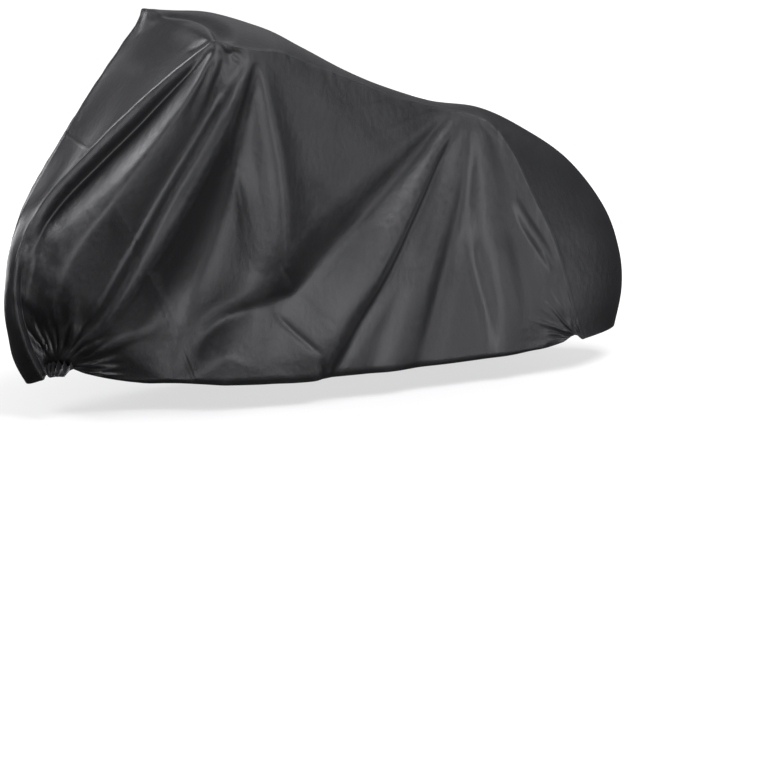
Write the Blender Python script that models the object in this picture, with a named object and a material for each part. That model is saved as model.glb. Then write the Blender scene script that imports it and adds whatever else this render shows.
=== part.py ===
"""Fitted rain cover for a bicycle, pulled down over the handlebar, the saddle and both wheels.

Metres, +Z up. X runs along the bicycle with the front wheel at -X, the near side is at -Y, and the lowest
edge of the hem is at z = 0, with the origin under the middle of the cover. The bicycle is not part of it.
"""
from collections import namedtuple

import bpy
import numpy as np

SHEET = 0.0015          # thickness of the coated cloth
SEAM_GAP = 0.0003       # between two pieces that are sewn together
SEAM_MARGIN = 0.10      # share of the way down a side over which its folds grow from the seam
BAR_TILT = 0.010        # how much higher the far end of the handlebar is than its middle
BAR_SECTION = 8.3       # where the handlebar stands, and how far its tilt is felt, in sections
BAR_REACH = 1.6
HEM_TUCK = 0.012        # how far the elastic draws the hem in
HEM_TUCK_SHARE = 0.03   # share of the way down a side over which it does
HEM_TUCK_DROP = 0.5     # height of a side from which it does so in full
CREST_POINTS = 8        # straight steps between two rows of a fold

SIDE_CELLS = 15         # facets from seam to hem
SIDE_GRADING = 1.15     # above 1 they grow narrower towards the hem
GUSSET_CELLS = 6        # facets across the gusset
FRONT_CELLS = 15        # facets along the front gusset
TOP_CELLS = 47          # facets along the top gusset

CLOTH_COLOR = (0.022, 0.022, 0.023, 1.0)
CLOTH_ROUGHNESS = 0.42

# A section is one line round the cover, from the near hem over the ridge to the far hem. ridge is its
# middle, seam is where the gusset meets a side panel, and hem is its lower end; y is half the width there.
# arch is the power of the curve between the seams: 2 is round, and a lower number is more like a tent.
Section = namedtuple("Section", "ridge_x ridge_z seam_x seam_y seam_z hem_x hem_y hem_z arch")
SECTIONS = (
    Section(-0.940, 0.030, -0.905, 0.055, 0.048, -0.872, 0.075, 0.076, 2.0),    # 0 front hem
    Section(-0.982, 0.130, -0.950, 0.055, 0.150, -0.795, 0.105, 0.052, 2.0),
    Section(-1.000, 0.260, -0.975, 0.050, 0.285, -0.715, 0.130, 0.034, 2.0),    # 2 front of the wheel
    Section(-0.975, 0.400, -0.957, 0.052, 0.430, -0.640, 0.148, 0.022, 2.0),
    Section(-0.905, 0.545, -0.893, 0.078, 0.575, -0.565, 0.160, 0.016, 2.0),
    Section(-0.770, 0.735, -0.762, 0.150, 0.735, -0.480, 0.175, 0.012, 2.0),    # 5 crosswise seam
    Section(-0.620, 0.912, -0.617, 0.235, 0.893, -0.390, 0.190, 0.008, 2.0),
    Section(-0.505, 1.035, -0.495, 0.308, 1.012, -0.300, 0.200, 0.004, 2.0),
    Section(-0.462, 1.066, -0.455, 0.335, 1.047, -0.240, 0.200, 0.003, 2.2),    # 8 brake levers
    Section(-0.405, 1.076, -0.400, 0.335, 1.030, -0.190, 0.200, 0.002, 2.2),
    Section(-0.335, 1.073, -0.334, 0.332, 1.010, -0.130, 0.200, 0.002, 2.2),    # 10 grip ends
    Section(-0.222, 1.040, -0.248, 0.300, 0.992, -0.050, 0.200, 0.002, 2.2),
    Section(-0.095, 0.972, -0.146, 0.256, 0.949, 0.040, 0.200, 0.002, 2.2),
    Section(0.040, 0.898, -0.001, 0.198, 0.890, 0.140, 0.195, 0.002, 2.0),
    Section(0.185, 0.834, 0.167, 0.136, 0.820, 0.240, 0.190, 0.002, 2.0),
    Section(0.340, 0.782, 0.335, 0.080, 0.772, 0.335, 0.185, 0.002, 2.0),       # 15 saddle
    Section(0.495, 0.755, 0.480, 0.085, 0.725, 0.420, 0.180, 0.003, 1.8),
    Section(0.640, 0.685, 0.555, 0.100, 0.640, 0.490, 0.175, 0.004, 1.6),
    Section(0.800, 0.575, 0.620, 0.120, 0.500, 0.555, 0.170, 0.006, 1.6),
    Section(0.930, 0.415, 0.685, 0.140, 0.360, 0.615, 0.165, 0.010, 1.6),
    Section(0.988, 0.270, 0.728, 0.150, 0.220, 0.670, 0.160, 0.015, 1.6),
    Section(1.000, 0.150, 0.762, 0.150, 0.110, 0.720, 0.155, 0.026, 1.6),       # 21 back of the wheel
    Section(0.975, 0.030, 0.795, 0.142, 0.026, 0.762, 0.152, 0.050, 1.6),       # 22 rear hem
)
CROSS_SEAM = 5
REAR_HEM = len(SECTIONS) - 1

# A fold is a crest drawn from the top down. x and z are points of the crest, seen from the side; front and
# rear are how far its two flanks reach, and height is how far it lifts the sheet (below 0 it is a trough).
Crest = namedtuple("Crest", "x z front rear height")
NEAR_FOLDS = {
    "trough below the front seam": (
        Crest(-0.480, 0.995, 0.060, 0.060, 0.000),
        Crest(-0.525, 0.945, 0.060, 0.060, -0.018),
        Crest(-0.585, 0.872, 0.060, 0.060, -0.024),
        Crest(-0.660, 0.782, 0.060, 0.060, -0.030),
        Crest(-0.750, 0.683, 0.060, 0.060, -0.030),
        Crest(-0.830, 0.595, 0.060, 0.060, -0.024),
        Crest(-0.880, 0.525, 0.060, 0.060, -0.014),
        Crest(-0.915, 0.450, 0.060, 0.060, -0.006),
        Crest(-0.935, 0.380, 0.060, 0.060, 0.000),
    ),
    "lever fold": (
        Crest(-0.440, 1.010, 0.040, 0.040, 0.000),
        Crest(-0.475, 0.930, 0.060, 0.075, 0.012),
        Crest(-0.570, 0.775, 0.085, 0.105, 0.038),
        Crest(-0.635, 0.675, 0.100, 0.125, 0.050),
        Crest(-0.700, 0.575, 0.110, 0.130, 0.056),
        Crest(-0.770, 0.460, 0.110, 0.130, 0.052),
        Crest(-0.830, 0.340, 0.095, 0.115, 0.038),
        Crest(-0.865, 0.230, 0.070, 0.090, 0.018),
        Crest(-0.880, 0.130, 0.060, 0.060, 0.000),
    ),
    "pleat to the front gather": (
        Crest(-0.365, 0.940, 0.040, 0.040, 0.000),
        Crest(-0.420, 0.845, 0.060, 0.060, 0.008),
        Crest(-0.470, 0.745, 0.060, 0.080, 0.024),
        Crest(-0.556, 0.575, 0.060, 0.110, 0.040),
        Crest(-0.638, 0.400, 0.060, 0.120, 0.044),
        Crest(-0.708, 0.270, 0.060, 0.110, 0.038),
        Crest(-0.790, 0.155, 0.060, 0.070, 0.020),
        Crest(-0.865, 0.085, 0.060, 0.060, 0.000),
    ),
    "trough behind the pleat": (
        Crest(-0.345, 0.930, 0.040, 0.040, 0.000),
        Crest(-0.368, 0.830, 0.060, 0.070, -0.014),
        Crest(-0.402, 0.670, 0.080, 0.110, -0.036),
        Crest(-0.448, 0.510, 0.095, 0.160, -0.054),
        Crest(-0.490, 0.390, 0.105, 0.200, -0.056),
        Crest(-0.540, 0.280, 0.105, 0.200, -0.046),
        Crest(-0.600, 0.180, 0.080, 0.120, -0.022),
        Crest(-0.640, 0.100, 0.060, 0.060, 0.000),
    ),
    "grip end fold": (
        Crest(-0.315, 0.940, 0.040, 0.040, 0.000),
        Crest(-0.295, 0.840, 0.060, 0.120, 0.008),
        Crest(-0.266, 0.710, 0.080, 0.200, 0.020),
        Crest(-0.250, 0.570, 0.110, 0.240, 0.028),
        Crest(-0.238, 0.430, 0.120, 0.240, 0.025),
        Crest(-0.222, 0.310, 0.090, 0.140, 0.008),
        Crest(-0.215, 0.250, 0.060, 0.060, 0.000),
    ),
    "valley from the saddle to the pedal": (
        Crest(0.390, 0.765, 0.060, 0.060, 0.000),
        Crest(0.300, 0.685, 0.060, 0.060, -0.010),
        Crest(0.210, 0.605, 0.080, 0.070, -0.020),
        Crest(0.070, 0.490, 0.130, 0.090, -0.028),
        Crest(-0.070, 0.380, 0.150, 0.110, -0.030),
        Crest(-0.165, 0.292, 0.140, 0.120, -0.028),
        Crest(-0.200, 0.265, 0.120, 0.130, -0.026),
        Crest(-0.330, 0.230, 0.080, 0.130, -0.020),
        Crest(-0.420, 0.180, 0.060, 0.110, -0.015),
        Crest(-0.465, 0.135, 0.060, 0.080, -0.008),
        Crest(-0.475, 0.080, 0.060, 0.060, 0.000),
    ),
    "saddle fold": (
        Crest(0.395, 0.755, 0.060, 0.060, 0.000),
        Crest(0.355, 0.700, 0.060, 0.060, 0.008),
        Crest(0.280, 0.610, 0.070, 0.060, 0.016),
        Crest(0.170, 0.460, 0.120, 0.060, 0.026),
        Crest(0.085, 0.340, 0.150, 0.060, 0.030),
        Crest(-0.015, 0.210, 0.170, 0.070, 0.030),
        Crest(-0.085, 0.090, 0.170, 0.070, 0.024),
        Crest(-0.135, 0.000, 0.170, 0.070, 0.016),
    ),
    "fold below the saddle": (
        Crest(0.415, 0.735, 0.060, 0.060, 0.000),
        Crest(0.365, 0.550, 0.060, 0.060, 0.008),
        Crest(0.295, 0.390, 0.065, 0.065, 0.013),
        Crest(0.210, 0.220, 0.075, 0.080, 0.015),
        Crest(0.130, 0.000, 0.080, 0.080, 0.010),
    ),
    "fold above the rear wheel": (
        Crest(0.455, 0.720, 0.060, 0.060, 0.000),
        Crest(0.470, 0.500, 0.060, 0.080, 0.014),
        Crest(0.490, 0.310, 0.080, 0.090, 0.020),
        Crest(0.520, 0.150, 0.080, 0.090, 0.017),
        Crest(0.530, 0.000, 0.080, 0.090, 0.008),
    ),
}
FAR_FOLDS = {
    "trough below the front seam": (
        Crest(-0.50, 0.98, 0.06, 0.06, 0.000),
        Crest(-0.64, 0.80, 0.06, 0.06, -0.024),
        Crest(-0.80, 0.60, 0.06, 0.06, -0.020),
        Crest(-0.90, 0.44, 0.06, 0.06, 0.000),
    ),
    "lever fold": (
        Crest(-0.44, 1.00, 0.06, 0.06, 0.000),
        Crest(-0.52, 0.78, 0.10, 0.09, 0.028),
        Crest(-0.66, 0.54, 0.13, 0.14, 0.038),
        Crest(-0.78, 0.30, 0.11, 0.12, 0.028),
        Crest(-0.86, 0.10, 0.06, 0.06, 0.006),
    ),
    "grip end fold": (
        Crest(-0.34, 0.97, 0.06, 0.06, 0.000),
        Crest(-0.35, 0.74, 0.07, 0.10, 0.014),
        Crest(-0.40, 0.46, 0.11, 0.15, 0.020),
        Crest(-0.46, 0.16, 0.11, 0.14, 0.020),
        Crest(-0.49, 0.02, 0.10, 0.12, 0.014),
    ),
    "frame fold": (
        Crest(-0.24, 0.94, 0.06, 0.06, 0.000),
        Crest(-0.14, 0.66, 0.09, 0.10, 0.010),
        Crest(-0.10, 0.36, 0.12, 0.12, 0.016),
        Crest(-0.12, 0.04, 0.12, 0.12, 0.014),
    ),
    "chain side trough": (
        Crest(0.16, 0.76, 0.06, 0.06, 0.000),
        Crest(0.10, 0.50, 0.10, 0.09, -0.012),
        Crest(0.04, 0.22, 0.10, 0.10, -0.010),
    ),
    "saddle fold": (
        Crest(0.38, 0.74, 0.06, 0.06, 0.000),
        Crest(0.30, 0.50, 0.08, 0.10, 0.026),
        Crest(0.20, 0.24, 0.11, 0.14, 0.036),
        Crest(0.14, 0.00, 0.12, 0.13, 0.024),
    ),
    "fold above the rear wheel": (
        Crest(0.46, 0.68, 0.06, 0.06, 0.000),
        Crest(0.50, 0.42, 0.09, 0.07, 0.022),
        Crest(0.47, 0.18, 0.11, 0.09, 0.030),
        Crest(0.42, 0.00, 0.10, 0.09, 0.020),
    ),
}

EVERY = slice(None)
FIRST_ROW, LAST_ROW = (0, 1), (-1, -2)
FIRST_COLUMN, LAST_COLUMN = ((EVERY, 0), (EVERY, 1)), ((EVERY, -1), (EVERY, -2))


def read_rows(rows, at):
    """Values of a table at fractional row numbers, along a smooth curve through its rows."""
    rows = np.asarray(rows, dtype=float)
    last = len(rows) - 1
    here = np.clip(np.floor(at).astype(int), 0, last - 1)
    part = (at - here)[..., None]
    before, start = rows[np.maximum(here - 1, 0)], rows[here]
    end, after = rows[here + 1], rows[np.minimum(here + 2, last)]
    bend = 2 * before - 5 * start + 4 * end - after
    twist = 3 * (start - end) + after - before
    return start + 0.5 * ((end - before) * part + bend * part ** 2 + twist * part ** 3)


def unit(vectors):
    """Vectors of length 1."""
    return vectors / np.linalg.norm(vectors, axis=-1, keepdims=True)


def soft_step(value):
    """0 below 0, 1 above 1, and smooth between."""
    value = np.clip(value, 0, 1)
    return value ** 2 * (3 - 2 * value)


def plain_sheet(along, across):
    """Points of the cover without folds.

    along counts the sections from the front hem. across is -2 at the near hem, -1 at the near seam, 0 on the
    ridge, 1 at the far seam and 2 at the far hem.
    """
    section = Section(*np.moveaxis(read_rows(SECTIONS, along), -1, 0))
    out = np.minimum(np.abs(across), 1)
    down = np.maximum(np.abs(across) - 1, 0)
    rise = 1 - out ** section.arch
    x = section.seam_x + (section.ridge_x - section.seam_x) * rise + (section.hem_x - section.seam_x) * down
    y = section.seam_y * out + (section.hem_y - section.seam_y) * down
    z = section.seam_z + (section.ridge_z - section.seam_z) * rise + (section.hem_z - section.seam_z) * down
    tilt = BAR_TILT * np.exp(-((along - BAR_SECTION) / BAR_REACH) ** 2)
    z = z + tilt * out * np.sign(across) * (1 - down)
    return np.stack([x, y * np.sign(across), z], axis=-1)


def hem_tuck(along, across):
    """How far the elastic draws the cover in above its hem, and less where a side is low."""
    section = Section(*np.moveaxis(read_rows(SECTIONS, along), -1, 0))
    share = np.clip((np.abs(across) - 2 + HEM_TUCK_SHARE) / HEM_TUCK_SHARE, 0, 1)
    return HEM_TUCK * soft_step((section.seam_z - section.hem_z) / HEM_TUCK_DROP) * share ** 2


def outward(points):
    """Unit directions out of a grid of points, halfway between those on either side of a crease."""
    steps = []
    for axis in (0, 1):
        legs = unit(np.diff(points, axis=axis))
        first, last = np.take(legs, [0], axis=axis), np.take(legs, [-1], axis=axis)
        padded = np.concatenate([first, legs, last], axis=axis)
        count = points.shape[axis]
        before = np.take(padded, range(count), axis=axis)
        after = np.take(padded, range(1, count + 1), axis=axis)
        steps.append(before + after)
    return unit(np.cross(steps[0], steps[1]))


def fold_height(x, z, crests):
    """How far one fold lifts the sheet at points (x, z), seen from the side."""
    spans = len(crests) - 1
    line = read_rows(crests, np.linspace(0, spans, spans * CREST_POINTS + 1))
    nearest = np.full(x.shape, np.inf)
    height = np.zeros(x.shape)
    for start, end in zip(line[:-1], line[1:]):
        step_x, step_z = end[0] - start[0], end[1] - start[1]
        share = ((x - start[0]) * step_x + (z - start[1]) * step_z) / (step_x ** 2 + step_z ** 2)
        share = np.clip(share, 0, 1)
        off_x, off_z = x - start[0] - share * step_x, z - start[1] - share * step_z
        distance = np.hypot(off_x, off_z)
        crest = Crest(*(start[:, None] + (end - start)[:, None] * share))
        to_front = step_x * off_z - step_z * off_x < 0
        lift = crest.height * soft_step(1 - distance / np.where(to_front, crest.front, crest.rear))
        closer = distance < nearest
        height = np.where(closer, lift, height)
        nearest = np.where(closer, distance, nearest)
    return height


def folded_sheet(along, across):
    """A grid of points of the outer face of the cover, with its folds."""
    along, across = np.meshgrid(along, across, indexing="ij")
    points = plain_sheet(along, across)
    x, z = points[..., 0], points[..., 2]
    lift = np.zeros(along.shape)
    for side, folds in ((across < -1, NEAR_FOLDS), (across > 1, FAR_FOLDS)):
        for crests in folds.values():
            lift[side] += fold_height(x[side], z[side], crests)
    lift *= soft_step((np.abs(across) - 1) / SEAM_MARGIN)
    points = points + lift[..., None] * outward(points)
    points[..., 1] -= np.sign(across) * hem_tuck(along, across)
    return points


def draw_back(points, edges):
    """Move the given edges of a grid of points into it by half the seam gap."""
    for edge, neighbour in edges:
        points[edge] += unit(points[neighbour] - points[edge]) * SEAM_GAP / 2
    return points


def sewn_piece(name, outer, inner, sewn_edges, material, collection):
    """One piece of the cover as a closed thin solid between two grids of points."""
    outer, inner = draw_back(outer.copy(), sewn_edges), draw_back(inner.copy(), sewn_edges)
    number = np.arange(outer[..., 0].size).reshape(outer.shape[:2])
    lining = number.size
    corners = [number[:-1, :-1], number[1:, :-1], number[1:, 1:], number[:-1, 1:]]
    halves = np.stack([corners[0], corners[1], corners[2], corners[0], corners[2], corners[3]], axis=-1)
    halves = halves.reshape(-1, 3)
    rim = np.array([*number[:-1, 0], *number[-1, :-1], *number[:0:-1, -1], *number[0, :0:-1]])
    after = np.roll(rim, -1)
    walls = np.stack([after, rim, rim + lining, after + lining], axis=-1)
    faces = [*halves.tolist(), *(halves[:, ::-1] + lining).tolist(), *walls.tolist()]
    points = np.concatenate([outer.reshape(-1, 3), inner.reshape(-1, 3)])
    mesh = bpy.data.meshes.new(name)
    mesh.from_pydata(points.tolist(), [], faces)
    mesh.materials.append(material)
    piece = bpy.data.objects.new(name, mesh)
    collection.objects.link(piece)


def cloth_material():
    """Black coated polyester."""
    material = bpy.data.materials.new("coated_cloth")
    material.use_nodes = True
    shader = material.node_tree.nodes["Principled BSDF"]
    shader.inputs["Base Color"].default_value = CLOTH_COLOR
    shader.inputs["Roughness"].default_value = CLOTH_ROUGHNESS
    shader.inputs["Metallic"].default_value = 0.0
    return material


def main():
    for old in list(bpy.data.objects):
        bpy.data.objects.remove(old, do_unlink=True)
    collection = bpy.data.collections.new("bicycle_cover")
    bpy.context.scene.collection.children.link(collection)
    cloth = cloth_material()

    front = np.linspace(0, CROSS_SEAM, FRONT_CELLS + 1)
    top = np.linspace(CROSS_SEAM, REAR_HEM, TOP_CELLS + 1)
    side = 2 - np.linspace(1, 0, SIDE_CELLS + 1) ** SIDE_GRADING
    gusset = np.linspace(-1, 1, GUSSET_CELLS + 1)
    outer = folded_sheet(np.concatenate([front, top[1:]]), np.concatenate([-side[::-1], gusset[1:-1], side]))
    inner = outer - SHEET * outward(outer)

    near_side = (EVERY, slice(0, SIDE_CELLS + 1))
    far_side = (EVERY, slice(SIDE_CELLS + GUSSET_CELLS, None))
    between = slice(SIDE_CELLS, SIDE_CELLS + GUSSET_CELLS + 1)
    before_seam = (slice(0, FRONT_CELLS + 1), between)
    after_seam = (slice(FRONT_CELLS, None), between)
    pieces = {
        "side_panel_near": (near_side, [LAST_COLUMN]),
        "side_panel_far": (far_side, [FIRST_COLUMN]),
        "gusset_front": (before_seam, [FIRST_COLUMN, LAST_COLUMN, LAST_ROW]),
        "gusset_top": (after_seam, [FIRST_COLUMN, LAST_COLUMN, FIRST_ROW]),
    }
    for name, (cells, sewn_edges) in pieces.items():
        sewn_piece(name, outer[cells], inner[cells], sewn_edges, cloth, collection)


main()
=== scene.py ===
"""Fitted rain cover for a bicycle: coated cloth panels with folds, seams, stitches and a gathered hem.

Metres, +Z up. X runs along the bicycle with the front wheel at -X, and the near side is at -Y.
"""

import math
from collections import namedtuple
from functools import cached_property

import bpy
import numpy as np
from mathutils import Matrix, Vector


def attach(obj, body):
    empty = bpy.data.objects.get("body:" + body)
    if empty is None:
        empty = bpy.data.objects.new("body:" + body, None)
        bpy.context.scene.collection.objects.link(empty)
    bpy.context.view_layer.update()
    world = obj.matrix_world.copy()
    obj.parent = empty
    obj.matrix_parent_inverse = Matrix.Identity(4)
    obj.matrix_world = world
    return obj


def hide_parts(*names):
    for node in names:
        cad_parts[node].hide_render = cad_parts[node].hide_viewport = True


bl_info = {
    "name": "Bicycle Cover",
    "version": (1, 0, 0),
    "blender": (4, 5, 0),
    "location": "View3D > Sidebar > Cover",
    "description": "Builds a draped and sewn cloth cover for a bicycle on its packed solids",
    "category": "Object",
}

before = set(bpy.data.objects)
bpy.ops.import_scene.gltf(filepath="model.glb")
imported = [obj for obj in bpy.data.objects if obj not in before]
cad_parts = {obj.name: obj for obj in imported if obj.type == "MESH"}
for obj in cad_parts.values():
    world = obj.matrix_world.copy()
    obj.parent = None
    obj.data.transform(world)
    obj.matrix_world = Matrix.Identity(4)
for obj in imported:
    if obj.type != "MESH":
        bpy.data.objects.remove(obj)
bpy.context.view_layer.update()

BODY = "root"

# ---------------------------------------------------------------------------------------------------------
# The cover's form. A section is one line round the cover, from the near hem over the ridge to the far hem.
# ridge is its middle, seam is where the gusset meets a side panel, and hem is its lower end; y is half the
# width there. arch is the power of the curve between the seams: 2 is round, lower is more like a tent.
# ---------------------------------------------------------------------------------------------------------
Section = namedtuple("Section", "ridge_x ridge_z seam_x seam_y seam_z hem_x hem_y hem_z arch")
SECTIONS = (
    Section(-0.940, 0.030, -0.905, 0.055, 0.048, -0.872, 0.075, 0.076, 2.0),    # 0 front hem
    Section(-0.982, 0.130, -0.950, 0.055, 0.150, -0.795, 0.105, 0.052, 2.0),
    Section(-1.000, 0.260, -0.975, 0.050, 0.285, -0.715, 0.130, 0.034, 2.0),    # 2 front of the wheel
    Section(-0.975, 0.400, -0.957, 0.052, 0.430, -0.640, 0.148, 0.022, 2.0),
    Section(-0.905, 0.545, -0.893, 0.078, 0.575, -0.565, 0.160, 0.016, 2.0),
    Section(-0.770, 0.735, -0.762, 0.150, 0.735, -0.480, 0.175, 0.012, 2.0),    # 5 crosswise seam
    Section(-0.620, 0.912, -0.617, 0.235, 0.893, -0.390, 0.190, 0.008, 2.0),
    Section(-0.505, 1.035, -0.495, 0.308, 1.012, -0.300, 0.200, 0.004, 2.0),
    Section(-0.462, 1.066, -0.455, 0.335, 1.047, -0.240, 0.200, 0.003, 2.2),    # 8 brake levers
    Section(-0.405, 1.076, -0.400, 0.335, 1.030, -0.190, 0.200, 0.002, 2.2),
    Section(-0.335, 1.073, -0.334, 0.332, 1.010, -0.130, 0.200, 0.002, 2.2),    # 10 grip ends
    Section(-0.222, 1.040, -0.248, 0.300, 0.992, -0.050, 0.200, 0.002, 2.2),
    Section(-0.095, 0.972, -0.146, 0.256, 0.949, 0.040, 0.200, 0.002, 2.2),
    Section(0.040, 0.898, -0.001, 0.198, 0.890, 0.140, 0.195, 0.002, 2.0),
    Section(0.185, 0.834, 0.167, 0.136, 0.820, 0.240, 0.190, 0.002, 2.0),
    Section(0.340, 0.782, 0.335, 0.080, 0.772, 0.335, 0.185, 0.002, 2.0),       # 15 saddle
    Section(0.495, 0.755, 0.480, 0.085, 0.725, 0.420, 0.180, 0.003, 1.8),
    Section(0.640, 0.685, 0.555, 0.100, 0.640, 0.490, 0.175, 0.004, 1.6),
    Section(0.800, 0.575, 0.620, 0.120, 0.500, 0.555, 0.170, 0.006, 1.6),
    Section(0.930, 0.415, 0.685, 0.140, 0.360, 0.615, 0.165, 0.010, 1.6),
    Section(0.988, 0.270, 0.728, 0.150, 0.220, 0.670, 0.160, 0.015, 1.6),
    Section(1.000, 0.150, 0.762, 0.150, 0.110, 0.720, 0.155, 0.026, 1.6),       # 21 back of the wheel
    Section(0.975, 0.030, 0.795, 0.142, 0.026, 0.762, 0.152, 0.050, 1.6),       # 22 rear hem
)
CROSS_SEAM = 5
BAR_TILT = 0.010        # how much higher the far end of the handlebar is than its middle
BAR_SECTION = 8.3       # where the handlebar stands, and how far its tilt is felt, in sections
BAR_REACH = 1.6
RIDGE_ROUND = 0.6       # share of a half gusset over which an arch under 2 is rounded off on the ridge
FAR_CORNER = 0.009      # how far the far grip pushes its corner of the cover up, and half of it forward
FAR_CORNER_SECTION = 7.6
FAR_CORNER_REACH = 0.4  # in sections
FAR_CORNER_DOWN = 0.25  # share of the way down the far side over which that fades
HEM_TUCK = 0.012        # how far the elastic draws the hem in
HEM_TUCK_SHARE = 0.03   # share of the way down a side over which it does
HEM_TUCK_DROP = 0.5     # height of a side from which it does so in full

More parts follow.
